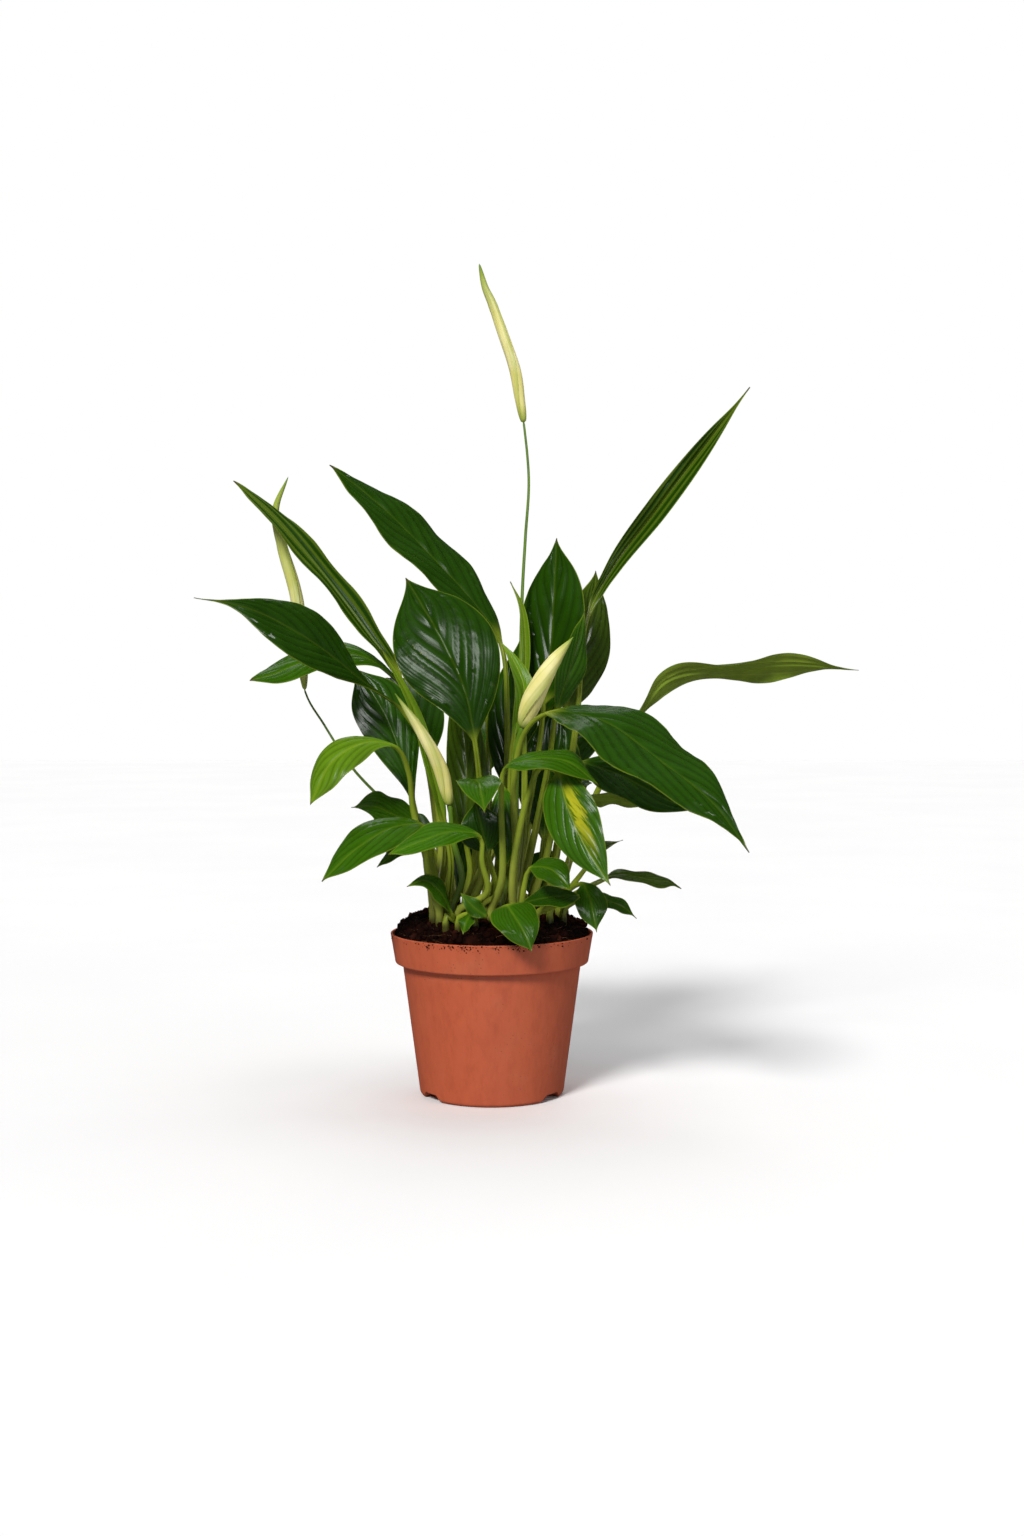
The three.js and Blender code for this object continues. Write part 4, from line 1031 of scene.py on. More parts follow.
def leaf_grid(leaf, foliage, soil, seed):
    """The rings of a leaf and the numbers that its material reads.

    At distance s along the centre line C the section's half-width is
    h = hypot(radius, width/2 * outline(t) * drip(t)), where drip draws the tip in to a fine
    point by 1 - a exp(-((1-t)/b)^2). Column v has the point
    C + S h v cos(tilt) + N (h |v| sin(tilt) + wave), with S across and N up, and the tilt
    falls from fold to fold - curl/2 at the margin. On the stalk the section is a circle. The
    lower face lies one thickness beneath, and a ridge deeper under the midrib.
    """
    root = root_points(leaf["root"], soil)
    line = CentreLine([*root, *leaf["stalk"], *leaf["blade"]])
    base = line.distance_to(len(root) + len(leaf["stalk"]))
    length = line.length - base
    stalk_steps = math.ceil(base / STALK_STEP)
    blade_steps = max(FEWEST_BLADE_STEPS, math.ceil(length / BLADE_STEP))
    below = np.linspace(0, 1, stalk_steps, endpoint=False)
    above = np.linspace(0, 1, blade_steps + 1)
    distances = np.concatenate([base * below, base + length * above])
    shares = np.concatenate([below - 1, above])
    tangents, sides = across_directions(line, base, distances, shares, leaf["face"])
    ups = np.cross(tangents, sides)

    t = np.clip(shares, 0, 1)[:, None]
    flat = ease(t / ROOTED_LENGTH)
    x = np.linspace(-1, 1, 2 * HALF_COLUMNS + 1)[None, :]
    v = flat * x * (0.4 + 0.6 * np.abs(x)) + (1 - flat) * np.sin(np.pi / 2 * x)
    thick, thin = (girth * MM for girth in leaf["girth"])
    stalk_radius = thick + (thin - thick) * (shares[:, None] + 1)
    blade_radius = thin + (foliage.tip_radius - thin) * t
    radius = np.where(shares[:, None] < 0, stalk_radius, blade_radius)
    half_width = leaf["width"] * MM / 2
    drip = 1 - DRIP * np.exp(-(((1 - t) / DRIP_REACH) ** 2))
    half = np.hypot(radius, half_width * blade_outline(t, leaf["shape"]) * drip)

    bend = leaf["fold"] * (1 - FOLD_FADE * t) - leaf["curl"] * np.abs(v) / 2
    tilt = flat * np.radians(bend)
    wave_height, wave_count, wave_phase = leaf["wave"]
    beat = 2 * np.pi * wave_count * t + math.radians(wave_phase) + np.where(v < 0, MARGIN_LAG, 0)
    ripple = wave_height * MM * v**2 * np.sin(beat) * np.sin(np.pi * t) ** WAVE_ENDS
    crinkle = ripples(t * length, v * half, 9, 30 * MM, 9 * MM, seed)
    frill = FRILL * half_width * np.abs(v) ** 3 * crinkle
    round_part = radius * np.sqrt(np.maximum(0, 1 - v**2))
    begun = ease((shares[:, None] - CHANNEL_FROM) / CHANNEL_RUN)
    channel = CHANNEL * radius * np.exp(-((v / CHANNEL) ** 2)) * begun
    rise = half * np.abs(v) * np.sin(tilt) + (ripple + frill) * flat
    rise = rise + (1 - flat) * (round_part - channel)

    phase, swell = swellings(t, v, length, half_width, leaf, foliage, seed)
    from_rib = half * np.abs(v)
    from_edge = half * (1 - np.abs(v))
    fade = ease(from_rib / RIB_CLEAR) * ease(from_edge / EDGE_CLEAR) * np.sin(np.pi * t) ** 0.5
    long_folds = slender(leaf, length)
    strength = max(LONG_RELIEF * long_folds, min(1, leaf["width"] / FULL_RELIEF))
    relief = foliage.relief * strength * swell * fade
    relief = relief - foliage.groove * np.exp(-((from_rib / foliage.groove_width) ** 2)) * flat

    def spread(part):
        return np.broadcast_to(part, v.shape)[..., None]

    side, up = sides[:, None, :], ups[:, None, :]
    out = -np.sign(v)[..., None] * np.sin(tilt)[..., None] * side + np.cos(tilt)[..., None] * up
    upper = line.at(distances)[:, None, :] + spread(half * v * np.cos(tilt)) * side
    upper = upper + spread(rise) * up + spread(relief * flat) * out
    thinned = EDGE_SKIN + (1 - EDGE_SKIN) * ease(from_edge / EDGE_REACH)
    skin = foliage.thickness * thinned
    ridge = RIB_SHARE * radius * (1 - np.abs(v)) ** 5
    round_depth = 2 * round_part - channel
    lower = upper - spread((1 - flat) * round_depth + flat * (skin + ridge)) * out

    chance = np.random.default_rng(seed).uniform(0, 0.5)
    rings = np.concatenate([upper, lower[:, ::-1]], axis=1)
    values = {
        "along": np.broadcast_to(shares[:, None], v.shape),
        "across": v,
        "phase": phase,
        "from_rib": from_rib,
        "from_edge": np.where(flat > 0.5, from_edge, NO_EDGE),
        "pleats": np.full(v.shape, LONG_PLEATS if long_folds else CROSS_PLEATS),
        "long": np.full(v.shape, float(long_folds)),
        "clear": np.broadcast_to(distances[:, None] - ROOT_DEPTH * MM, v.shape),
        "open": np.broadcast_to(ease(half / half_width / 0.9 - 0.1), v.shape),
        "under": np.zeros(v.shape),
        "tint": np.full(v.shape, leaf.get("fresh", chance)),
    }
    mirrored = {key: part[:, ::-1] for key, part in values.items()}
    mirrored["under"] = np.broadcast_to(flat, v.shape)
    both = {key: np.concatenate([values[key], mirrored[key]], axis=1) for key in values}
    return rings, both


def leaf_piece(leaf, foliage, soil, seed, material):
    """One leaf, from its root in the soil to its tip."""
    rings, values = leaf_grid(leaf, foliage, soil, seed)
    rows, columns = rings.shape[:2]
    faces = [np.vstack([ring_faces(rows, columns), flat_ends(rows, columns)])]
    return put_mesh(leaf["name"] + "_veined", rings.reshape(-1, 3), faces, values, material)


# ---------------------------------------------------------------- flowers

FLOWER_COLUMNS = 40
STALK_RIBS, RIB_HEIGHT = 12, 0.03
SPATHE_ROWS = 90
SPATHE_REACH = 3  # mm that a stalk runs on inside its spathe
SEAM_SIDE = -math.pi / 2 - 0.5  # the seam starts left of the front
LAP_START, LAP_END, LAP_TIP = 0.15, 0.72, 0.1  # where the lap rises, opens and dies out
LAP_LEFT, LAP_STEP = 0.25, 0.03  # share of the lap that stays beyond its end, and how sudden
PUCKER, PUCKERS_ALONG, PUCKERS_AROUND = 0.025, 3.2, 2


def carried_side(line, distances):
    """A side direction that is carried along a line without turning, starting from +X."""
    tangents = line.along(distances)
    sides = np.empty_like(tangents)
    side = np.array([1.0, 0.0, 0.0])
    for i, tangent in enumerate(tangents):
        side = square_to(side, tangent)
        sides[i] = side
    return tangents, sides


def round_grid(line, distances, radii, angles):
    """Rings of points C + R (S cos(a) + U sin(a)), the first and last of them with R = 0."""
    tangents, sides = carried_side(line, distances)
    side, up = sides[:, None, :], np.cross(tangents, sides)[:, None, :]
    ring = np.cos(angles)[..., None] * side + np.sin(angles)[..., None] * up
    closed = np.pad(np.ones(len(distances) - 2), 1)[:, None] * radii
    return line.at(distances)[:, None, :] + closed[..., None] * ring


def stalk_piece(flower, soil, material):
    """A stalk with faint ribs: R = r (1 + b cos(n a)), with r thinner towards the flower."""
    line = CentreLine([
        *root_points(flower["root"], soil), *flower["stalk"], flower["spathe"][1],
    ])
    end = line.distance_to(2 + len(flower["stalk"])) + SPATHE_REACH * MM
    distances = np.linspace(0, end, math.ceil(end / STALK_STEP) + 1)
    share = (distances / end)[:, None]
    angles = np.linspace(0, 2 * np.pi, FLOWER_COLUMNS, endpoint=False)[None, :]
    thick, thin = (girth * MM for girth in flower["girth"])
    ribs = 1 + RIB_HEIGHT * np.cos(STALK_RIBS * angles)
    grid = round_grid(line, distances, (thick + (thin - thick) * share) * ribs, angles)
    return turned_piece(flower["name"] + "_stalk_ribbed", grid, {"along": share}, material)


def spathe_piece(flower, flowers, foliage, material):
    """A rolled spathe: R = r(s) (1 - lap (1 - a/2pi)), with its step winding round the roll.

    The angle a runs from the inner edge to the lapped outer edge, and the step between them is
    the seam. r(s) is the solid's own outline, drawn in where the roll's lips pucker.
    """
    line = CentreLine(flower["spathe"])
    share = np.linspace(0, 1, SPATHE_ROWS)[:, None]
    turn = np.linspace(0, 1, FLOWER_COLUMNS)[None, :]
    thin = flower["girth"][1] * MM
    body = flower["width"] * MM / 2 * blade_outline(share, flower["shape"])
    radius = np.hypot(body, thin * (1 - share) + foliage.tip_radius * share)
    kept = LAP_LEFT + (1 - LAP_LEFT) * ease((LAP_END - share) / LAP_STEP)
    lap = flowers.lap * ease(share / LAP_START) * kept * ease((1 - share) / LAP_TIP)
    ripple = np.sin(2 * np.pi * (PUCKERS_ALONG * share + PUCKERS_AROUND * turn))
    pucker = 1 + PUCKER * ripple * np.sin(np.pi * share)
    radii = radius * (1 - lap * (1 - turn)) * pucker
    angles = SEAM_SIDE + 2 * np.pi * (turn + flowers.turns * share)
    grid = round_grid(line, share[:, 0] * line.length, radii, angles)
    values = {"along": share, "around": turn, "green_from": flower["green_from"]}
    return turned_piece(flower["name"] + "_spathe_rolled", grid, values, material)


# ---------------------------------------------------------------- pot and soil

POT_TURNS, SOIL_TURNS = 300, 260  # columns round the axis
POT_STEP, SOIL_STEP = 1.4 * MM, 2 * MM
TOP_RINGS = 80
RIM_ROWS = 4  # rows that the rounded rim takes
NOTCH_ANGLES = (90, 214, 326)
NOTCH_END = 0.8 * MM  # how steep a notch's inner end is
DRILL_PLACE, DRILL_LENGTH = 5 * MM, 16 * MM
CLUMP_ANGLES = (-128, -112, -103, -88, -76, -66)  # where specks and roots gather on the lip
FRONT = -math.pi / 2
FIBRE_RADIUS = 0.16 * MM
FIBRE_STEPS, FIBRE_SIDES = 7, 3
GAP = 0.3 * MM
SMOOTH = 180  # no edge stays crisp
BARK_SHARE, BARK_TINT, PEAT_TINT = 0.12, 0.9, 0.25
CLUMPED, OVER_LIP = 0.6, 0.3  # shares of the specks in clumps and of the roots over the lip
LUMP_SEED, GRAIN_SEED, TINT_SEED = 5, 6, 9
CRUMB_SEED, RIM_SEED, FIBRE_SEED = 21, 31, 41


def notch_lift(x, y, pot, margin):
    """How far the notches raise the underside: a trapezoid channel, steep at its inner end."""
    lift = np.zeros_like(x)
    height = pot.notch_height + margin
    for degrees in NOTCH_ANGLES:
        angle = math.radians(degrees)
        out = x * math.cos(angle) + y * math.sin(angle)
        aside = np.abs(y * math.cos(angle) - x * math.sin(angle))
        slope = (pot.notch_mouth - pot.notch_roof) / pot.notch_height
        side = np.clip((pot.notch_mouth + 1.4 * margin - aside) / (slope * height), 0, 1)
        end = ease((out - pot.notch_inner + margin) / NOTCH_END)
        lift = np.maximum(lift, height * side * end)
    return lift


def turned_grid(outline, turns):
    """Rings of points (r cos a, r sin a, z) for each (r, z) of an outline."""
    angles = np.linspace(0, 2 * np.pi, turns, endpoint=False)[None, :]
    radius, height = outline[:, :1], outline[:, 1:]
    grid = [radius * np.cos(angles), radius * np.sin(angles), height + 0 * angles]
    return np.stack(grid, axis=-1)


def inside_radius(z, pot):
    """The radius of the pot's inner face at a height."""
    step = pot.height - pot.lip_height
    lip = pot.lip_radius + (pot.rim_radius - pot.lip_radius) * (z - step) / pot.lip_height
    body = pot.foot_radius + (pot.body_radius - pot.foot_radius) * z / step
    return (lip if z > step else body) - pot.wall


def pot_piece(pot, material):
    """The pot: an outline turned round the axis, its underside lifted over the notches."""
    step = pot.height - pot.lip_height
    ledge = step + pot.wall
    outline = softened(
        [
            (0, 0), (pot.foot_radius, 0), (pot.body_radius, step), (pot.lip_radius, step),
            (pot.rim_radius, pot.height), (pot.rim_radius - pot.wall, pot.height),
            (inside_radius(ledge + MM, pot), ledge), (inside_radius(step, pot), ledge),
            (inside_radius(pot.floor, pot), pot.floor), (0, pot.floor),
        ],
        [reach * MM for reach in (2.4, 0.7, 0.9, 0.5, 0.5, 0.5, 0.5, 1.2)],
    )
    outline = filled(outline, POT_STEP)
    grid = turned_grid(outline, POT_TURNS)
    inner_from = int(np.argmax(outline[:, 1])) + RIM_ROWS
    x, y, z = grid[..., 0], grid[..., 1], grid[..., 2]
    inside = np.arange(len(outline))[:, None] >= inner_from
    lift = np.where(inside, notch_lift(x, y, pot, pot.wall), notch_lift(x, y, pot, 0))
    floor = np.where(inside, np.where(lift > 0.3 * MM, lift + pot.floor - pot.wall, 0), lift)
    low = pot.notch_height + 2 * pot.wall
    grid[..., 2] = np.where(z < low, np.maximum(z, floor), z)
    return turned_piece("pot_moulded", grid, {}, material, sharp=40)


def cut_drains(made, pot):
    """Cuts a drain hole through the roof of each notch."""
    for degrees in NOTCH_ANGLES:
        angle = math.radians(degrees)
        x, y = pot.drain_place * math.cos(angle), pot.drain_place * math.sin(angle)
        bpy.ops.mesh.primitive_cylinder_add(
            vertices=40, radius=pot.drain_radius, depth=DRILL_LENGTH, location=(x, y, DRILL_PLACE)
        )
        cutter = bpy.context.object
        cut = made.modifiers.new("Drain", "BOOLEAN")
        cut.operation, cut.object, cut.solver = "DIFFERENCE", cutter, "EXACT"
        with bpy.context.temp_override(object=made, active_object=made):
            bpy.ops.object.modifier_apply(modifier=cut.name)
        bpy.data.objects.remove(cutter, do_unlink=True)


def soil_height(x, y, soil):
    """The mound's height with lumps of several sizes on it."""
    lumps = 0.9 * MM * ripples(x, y, 16, 26 * MM, 7 * MM, LUMP_SEED)
    grain = 0.45 * MM * np.abs(ripples(x, y, 22, 6 * MM, 2 * MM, GRAIN_SEED))
    return mound_height(x, y, soil) + lumps + grain


def soil_piece(pot, soil, material):
    """The soil: a lumpy top, and sides that follow the pot's inner face down to its floor."""
    step = pot.height - pot.lip_height
    ledge = step + pot.wall + 0.5 * MM
    floor = pot.floor + GAP
    edge = inside_radius(soil.edge, pot) - GAP
    sides = np.array([
        (edge, soil.edge), (inside_radius(ledge, pot) - 2 * GAP, ledge + GAP),
        (inside_radius(step, pot) - 2 * GAP, ledge), (inside_radius(floor, pot) - 2 * GAP, floor),
        (0, floor),
    ])
    radii = np.linspace(0, edge, TOP_RINGS, endpoint=False)
    top = np.stack([radii, np.full(TOP_RINGS, soil.edge)], axis=-1)
    outline = np.vstack([top, filled(sides, SOIL_STEP)])
    grid = turned_grid(outline, SOIL_TURNS)
    x, y, z = grid[..., 0], grid[..., 1], grid[..., 2]
    is_top = (np.arange(len(outline)) <= len(top))[:, None]
    lifted = np.maximum(z, notch_lift(x, y, pot, pot.wall + 2 * GAP) + pot.floor - pot.wall)
    grid[..., 2] = np.where(is_top, soil_height(x, y, soil), np.where(z < 10 * MM, lifted, z))
    tint = 0.35 * np.abs(ripples(x, y, 12, 20 * MM, 5 * MM, TINT_SEED))
    return turned_piece("soil_lumpy", grid, {"tint": np.clip(tint, 0, 1)}, material)


def crumb_cloud(name, places, radii, tints, material, seed):
    """Small lumps in one mesh: each is a stretched, turned and dented icosahedron."""
    golden = (1 + 5**0.5) / 2
    signs = np.array([(a, b) for a in (-1, 1) for b in (-golden, golden)], float)
    flat = np.insert(signs, 0, 0, axis=1)
    corners = unit(np.vstack([np.roll(flat, k, axis=1) for k in range(3)]))
    apart = np.linalg.norm(corners[:, None] - corners[None], axis=-1)
    near = (apart > 0.1) & (apart < 1.1)
    i, j, k = np.nonzero(near[:, :, None] & near[None] & near[:, None, :])
    once = (i < j) & (i < k) & (j != k)
    triangles = np.stack([i, j, k], axis=-1)[once]
    a, b, c = (corners[triangles[:, n]] for n in range(3))
    triangles = triangles[np.sum(np.cross(b - a, c - a) * a, axis=1) > 0]

    draw = np.random.default_rng(seed)
    frames, _ = np.linalg.qr(draw.normal(size=(len(places), 3, 3)))
    stretch = draw.uniform(0.55, 1.25, (len(places), 1, 3))
    dents = draw.uniform(0.75, 1.15, (len(places), 12, 1))
    turned = (corners[None] * stretch * dents) @ frames
    handed = np.sign(np.linalg.det(frames))[:, None, None]
    vertices = places[:, None, :] + handed * turned * radii[:, None, None]
    faces = triangles[None] + 12 * np.arange(len(places))[:, None, None]
    values = {"tint": np.repeat(tints, 12)}
    return put_mesh(name, vertices.reshape(-1, 3), [faces.reshape(-1, 3)], values, material, SMOOTH)


def soil_crumbs(pot, soil, material):
    """Crumbs strewn evenly over the soil, a few of them reddish bark."""
    draw = np.random.default_rng(CRUMB_SEED)
    reach = inside_radius(soil.edge, pot) - 1.5 * MM
    radius = reach * np.sqrt(draw.uniform(0, 1, soil.crumbs))
    angle = draw.uniform(0, 2 * np.pi, soil.crumbs)
    x, y = radius * np.cos(angle), radius * np.sin(angle)
    sizes = soil.crumb * (0.22 + 0.78 * draw.uniform(0, 1, soil.crumbs) ** 3)
    sizes = np.minimum(sizes, inside_radius(soil.edge, pot) - GAP - radius + 0.4 * MM)
    places = np.stack([x, y, soil_height(x, y, soil) + 0.25 * sizes], axis=-1)
    reddest = np.where(draw.uniform(0, 1, soil.crumbs) > 1 - BARK_SHARE, BARK_TINT, PEAT_TINT)
    tints = reddest * draw.uniform(0.2, 1, soil.crumbs)
    return crumb_cloud("soil_crumbs", places, sizes, tints, material, CRUMB_SEED + 1)


def rim_crumbs(pot, soil, material):
    """Specks of peat stuck to the top of the lip and just below it, most of them in front."""
    draw = np.random.default_rng(RIM_SEED)
    total = soil.rim_crumbs
    clumps = np.radians(draw.choice(CLUMP_ANGLES, total)) + draw.normal(0, 0.06, total)
    angle = np.where(draw.uniform(0, 1, total) < CLUMPED, clumps, draw.normal(FRONT, 0.8, total))
    drop = np.abs(draw.normal(0, 1.5 * MM, total)) * (draw.uniform(0, 1, total) > 0.4)
    sizes = (0.15 + 0.5 * draw.uniform(0, 1, total) ** 2) * MM
    slope = (pot.rim_radius - pot.lip_radius) / pot.lip_height
    on_top = drop == 0
    inward = np.where(on_top, draw.uniform(0.5, 1, total) * pot.wall, 0.1 * sizes)
    radius = pot.rim_radius - slope * drop - inward
    z = pot.height - drop - np.where(on_top, 0.2 * sizes, 0.5 * MM)
    places = np.stack([radius * np.cos(angle), radius * np.sin(angle), z], axis=-1)
    tints = draw.uniform(0.1, 0.5, total)
    return crumb_cloud("rim_crumbs", places, sizes, tints, material, RIM_SEED + 1)


def fibre_cloud(name, places, ahead, lengths, tints, material, seed):
    """Threads in one mesh: P + L (u D + 0.5 u (1 - u) S) with three corners round each point.

    P is a thread's start, D its heading, S a random side of it, and L its length. It thins
    towards its end.
    """
    draw = np.random.default_rng(seed)
    steps, sides = FIBRE_STEPS, FIBRE_SIDES
    side = square_to(draw.normal(size=ahead.shape), ahead)
    u = np.linspace(0, 1, steps)[None, :, None]
    path = u * ahead[:, None, :] + 0.5 * u * (1 - u) * side[:, None, :]
    path = places[:, None, :] + lengths[:, None, None] * path
    turns = (2 * np.pi / sides * np.arange(sides))[None, :, None]
    ring = np.cos(turns) * side[:, None, :] + np.sin(turns) * np.cross(ahead, side)[:, None, :]
    vertices = path[:, :, None, :] + FIBRE_RADIUS * (1 - 0.6 * u[..., None]) * ring[:, None, :, :]
    first = steps * sides * np.arange(len(places))[:, None, None]
    walls = (ring_faces(steps, sides)[None] + first).reshape(-1, 4)
    ends = np.array([(2, 1, 0), (0, 1, 2)]) + np.array([[0], [(steps - 1) * sides]])
    ends = (ends[None] + first).reshape(-1, 3)
    values = {"tint": np.repeat(tints, steps * sides)}
    made = put_mesh(name, vertices.reshape(-1, 3), [walls, ends], values, material)
    outward(made)
    return made


def fine_roots(pot, soil, material):
    """Dry roots that lie on the soil, most of them in front, and a few that hang over the lip."""
    draw = np.random.default_rng(FIBRE_SEED)
    total = soil.fibres
    over = draw.uniform(0, 1, total) < OVER_LIP
    spot = np.radians(draw.choice(CLUMP_ANGLES, total)) + draw.normal(0, 0.08, total)
    turn = np.where(over, spot, draw.normal(FRONT, 0.7, total))
    reach = inside_radius(soil.edge, pot) - draw.uniform(1.5 * MM, 13 * MM, total)
    radius = np.where(over, pot.rim_radius - 0.3 * MM, reach)
    x, y = radius * np.cos(turn), radius * np.sin(turn)
    lying = soil_height(x, y, soil) + 0.7 * MM
    places = np.stack([x, y, np.where(over, pot.height, lying)], axis=-1)
    along_lip = turn + np.pi / 2 * draw.choice([-1, 1], total)
    heading = np.where(over, along_lip, draw.uniform(0, 6, total))
    slope = np.where(over, draw.uniform(-1.3, -0.2, total), draw.uniform(-0.05, 0.25, total))
    level = np.cos(slope)
    ahead = np.stack([level * np.cos(heading), level * np.sin(heading), np.sin(slope)], axis=-1)
    hanging = draw.uniform(1.5 * MM, 4.5 * MM, total)
    lengths = np.where(over, hanging, draw.uniform(3 * MM, 9 * MM, total))
    tints = np.where(over, 0.1, draw.uniform(0.3, 1, total))
    return fibre_cloud("fine_roots", places, ahead, lengths, tints, material, FIBRE_SEED + 1)


# ---------------------------------------------------------------- operators


class BuildMaterials(bpy.types.Operator):
    """Makes the finishes that the pieces share"""

    bl_idname = "lily.build_materials"
    bl_label = "Finishes"

    def execute(self, context):
        scene = context.scene
        foliage = scene.lily_foliage
        build_groups()
        # The last number is lift: painted light shining through a lower face, most on the olive
        # leaves.
        for tone, rib, lift in (
            ("dark", 0.08, 1.0), ("mid", 0.15, 1.0), ("light", 0.3, 1.2), ("olive", 0.15, 1.7),
        ):
            leaf_material(f"Leaf {tone}", tuple(getattr(foliage, tone)), foliage, rib, lift)
        leaf_material("Leaf streaked", tuple(foliage.mid), foliage, 0.3, streaked=True)
        stalk_material(scene.lily_flowers, foliage)
        spathe_material(scene.lily_flowers)
        pot_material(scene.lily_pot)
        peat_material(scene.lily_soil)
        fibre_material(scene.lily_soil)
        floor_material(scene.lily_stage)
        return {"FINISHED"}


class BuildPot(bpy.types.Operator):
    """Builds the moulded pot with its lip, notches and drain holes"""

    bl_idname = "lily.build_pot"
    bl_label = "Pot"

    def execute(self, context):
        pot = context.scene.lily_pot
        made = pot_piece(pot, bpy.data.materials["Terracotta plastic"])
        cut_drains(made, pot)
        seat(made, "pot", "pot")
        return {"FINISHED"}


class BuildSoil(bpy.types.Operator):
    """Builds the soil, its loose crumbs, the fine roots and the specks on the lip"""

    bl_idname = "lily.build_soil"
    bl_label = "Soil"

    def execute(self, context):
        pot, soil = context.scene.lily_pot, context.scene.lily_soil
        peat = bpy.data.materials["Peat"]
        seat(soil_piece(pot, soil, peat), "soil", "soil")
        seat(soil_crumbs(pot, soil, peat), "soil")
        seat(rim_crumbs(pot, soil, peat), "soil")
        seat(fine_roots(pot, soil, bpy.data.materials["Fine roots"]), "soil")
        return {"FINISHED"}


class BuildLeaves(bpy.types.Operator):
    """Grows every leaf on its stalk"""

    bl_idname = "lily.build_leaves"
    bl_label = "Leaves"

    def execute(self, context):
        foliage, soil = context.scene.lily_foliage, context.scene.lily_soil
        for seed, own in enumerate(LEAVES):
            leaf = {**LEAF_DEFAULTS, **own}
            streaked = leaf["name"] == "leaf_front_streaked"
            finish = "Leaf streaked" if streaked else f"Leaf {leaf['tone']}"
            made = leaf_piece(leaf, foliage, soil, seed, bpy.data.materials[finish])
            seat(made, f"leaf_{leaf['tone']}", leaf["name"])
        return {"FINISHED"}


class BuildFlowerStalks(bpy.types.Operator):
    """Grows the flowers' stalks"""

    bl_idname = "lily.build_flower_stalks"
    bl_label = "Flower stalks"

    def execute(self, context):
        for flower in FLOWERS:
            made = stalk_piece(flower, context.scene.lily_soil, bpy.data.materials["Flower stalk"])
            seat(made, "flower_stalk", flower["name"] + "_stalk")
        return {"FINISHED"}


class BuildSpathes(bpy.types.Operator):
    """Rolls the closed spathes"""

    bl_idname = "lily.build_spathes"
    bl_label = "Spathes"

    def execute(self, context):
        scene = context.scene
        for flower in FLOWERS:
            finish = bpy.data.materials["Spathe"]
            made = spathe_piece(flower, scene.lily_flowers, scene.lily_foliage, finish)
            seat(made, "spathe", flower["name"] + "_spathe")
        return {"FINISHED"}


LIGHTS = {
    "key_light": dict(azimuth=-24, elevation=40, strength=2.8, spread=16, tint=(1, 0.985, 0.955)),
    "top_light": dict(azimuth=160, elevation=68, strength=1.2, spread=50),
    "fill_light": dict(azimuth=62, elevation=22, strength=0.5, spread=50),
    "front_gleam": dict(azimuth=10, elevation=20, strength=1.9, spread=22, gleam=True),
    "back_gleam": dict(azimuth=188, elevation=44, strength=0.25, spread=26, gleam=True),
}
FLOOR_LINES = 9
FLOOR_PLACE = -0.05 * MM
SENSOR = 36


def sun_light(name, azimuth, elevation, strength, spread, tint=(1, 1, 1), gleam=False):
    """A far soft light. azimuth runs to the right from the front, and spread is its width.

    All three angles are in degrees. A gleam only shows in reflections, and another light shows
    everywhere else.
    """
    light = bpy.data.lights.new(name, "SUN")
    light.energy, light.angle, light.color = strength, math.radians(spread), tint
    made = put(name, light)
    made.rotation_euler = (math.radians(90 - elevation), 0, math.radians(azimuth))
    made.visible_glossy, made.visible_diffuse = gleam, not gleam


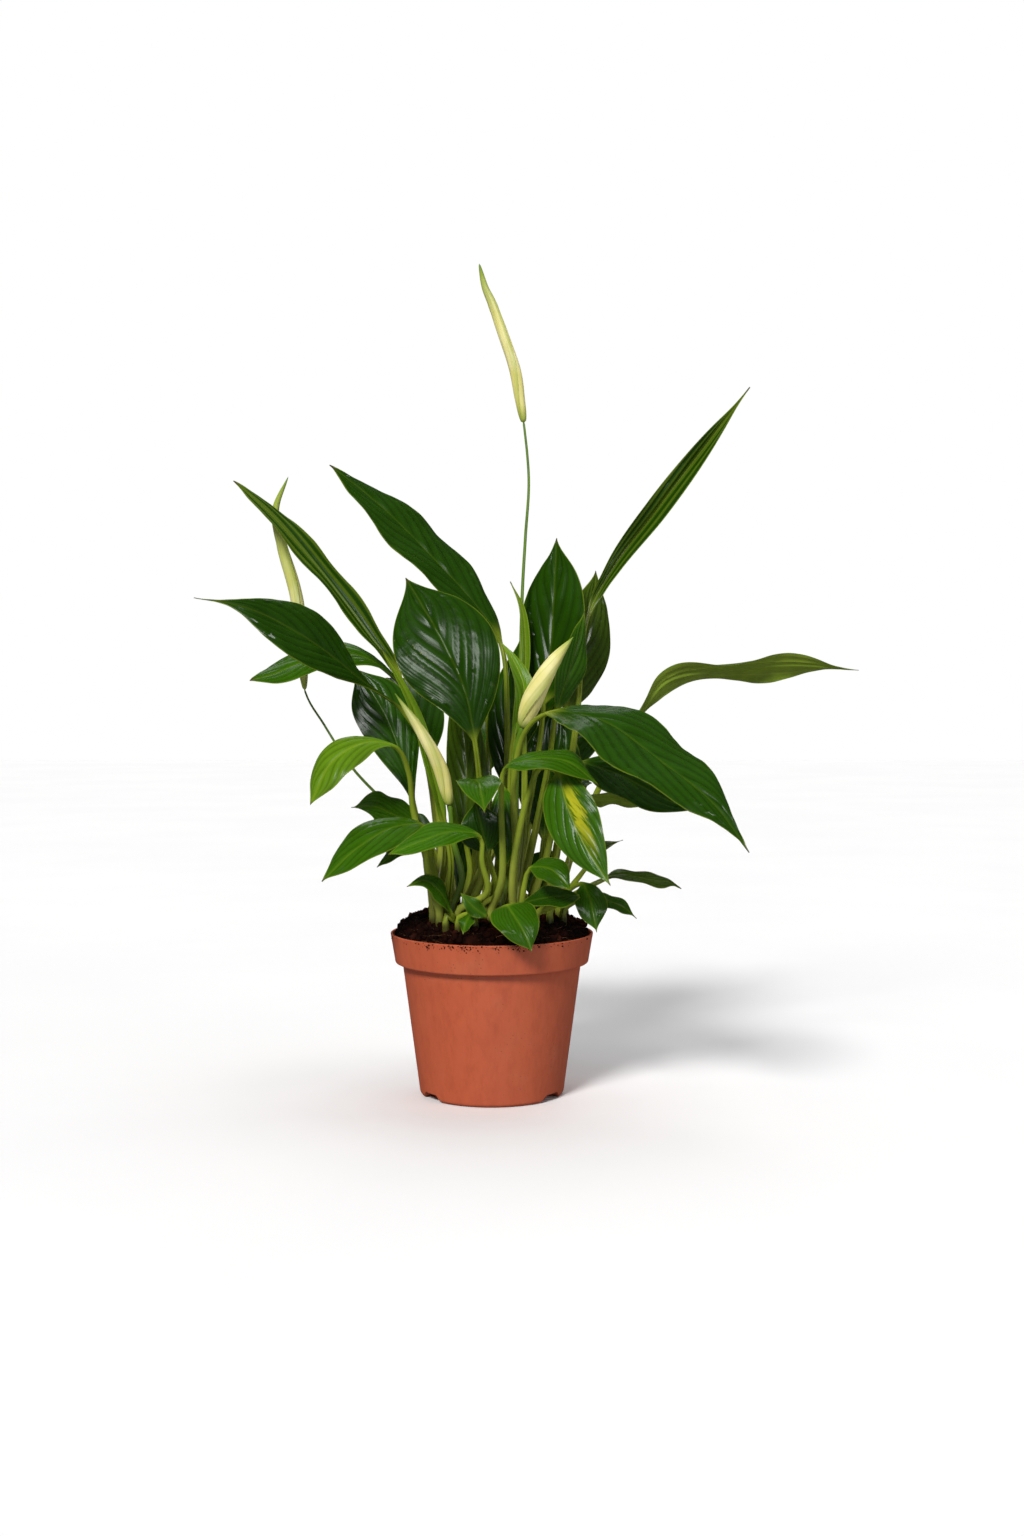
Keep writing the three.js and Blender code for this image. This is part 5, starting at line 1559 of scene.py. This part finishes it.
class BuildStage(bpy.types.Operator):
    """Sets the pale floor, the soft lights and the camera"""

    bl_idname = "lily.build_stage"
    bl_label = "Stage"

    def execute(self, context):
        scene = context.scene
        stage = scene.lily_stage
        reach = stage.floor_reach
        steps = np.linspace(-reach, reach, FLOOR_LINES)
        x, y = np.meshgrid(steps, steps)
        corners = np.stack([x.ravel(), y.ravel(), np.full(x.size, FLOOR_PLACE)], axis=-1)
        index = np.arange(x.size).reshape(x.shape)
        quads = [index[:-1, :-1], index[:-1, 1:], index[1:, 1:], index[1:, :-1]]
        faces = [np.stack(quads, axis=-1).reshape(-1, 4)]
        put_mesh("pale_floor", corners, faces, {}, bpy.data.materials["Pale floor"])

        for name, own in LIGHTS.items():
            sun_light(name, **own)

        world = bpy.data.worlds.new("Bright room")
        world.use_nodes = True
        tree = world.node_tree
        lit = tree.nodes["Background"]
        lit.inputs["Color"].default_value = (1, 1, 1, 1)
        rays = add(tree, "ShaderNodeLightPath").outputs
        calm = between(tree, rays["Is Glossy Ray"], 0.0, 1.0, stage.surround, stage.gleam)
        seen = between(tree, rays["Is Camera Ray"], 0.0, 1.0, calm, stage.backdrop)
        tree.links.new(seen, lit.inputs["Strength"])
        scene.world = world
        scene.view_settings.view_transform = "Standard"

        camera = bpy.data.cameras.new("camera")
        camera.lens = stage.lens
        camera.sensor_width = SENSOR
        scene.camera = put("camera", camera)
        scene.camera.location = stage.camera_place
        scene.camera.rotation_euler = (math.pi / 2 - stage.camera_tilt, 0, 0)
        return {"FINISHED"}


OPERATORS = (
    BuildMaterials, BuildPot, BuildSoil, BuildLeaves, BuildFlowerStalks, BuildSpathes, BuildStage,
)


class LilyPanel(bpy.types.Panel):
    """Lists the pieces of the plant and their sizes"""

    bl_idname = "VIEW3D_PT_peace_lily"
    bl_label = "Potted peace lily"
    bl_space_type = "VIEW_3D"
    bl_region_type = "UI"
    bl_category = "Peace lily"

    def draw(self, context):
        for operator in OPERATORS:
            self.layout.operator(operator.bl_idname)
        for key, kind in SETTINGS.items():
            box = self.layout.box()
            for name in kind.__annotations__:
                box.prop(getattr(context.scene, key), name)


def register():
    for kind in (*SETTINGS.values(), *OPERATORS, LilyPanel):
        bpy.utils.register_class(kind)
    for key, kind in SETTINGS.items():
        setattr(bpy.types.Scene, key, bpy.props.PointerProperty(type=kind))


def unregister():
    for key in SETTINGS:
        delattr(bpy.types.Scene, key)
    for kind in (LilyPanel, *OPERATORS[::-1], *SETTINGS.values()):
        bpy.utils.unregister_class(kind)


def main():
    register()
    bpy.ops.lily.build_materials()
    bpy.ops.lily.build_pot()
    bpy.ops.lily.build_soil()
    bpy.ops.lily.build_leaves()
    bpy.ops.lily.build_flower_stalks()
    bpy.ops.lily.build_spathes()
    bpy.ops.lily.build_stage()


if __name__ == "__main__":
    main()
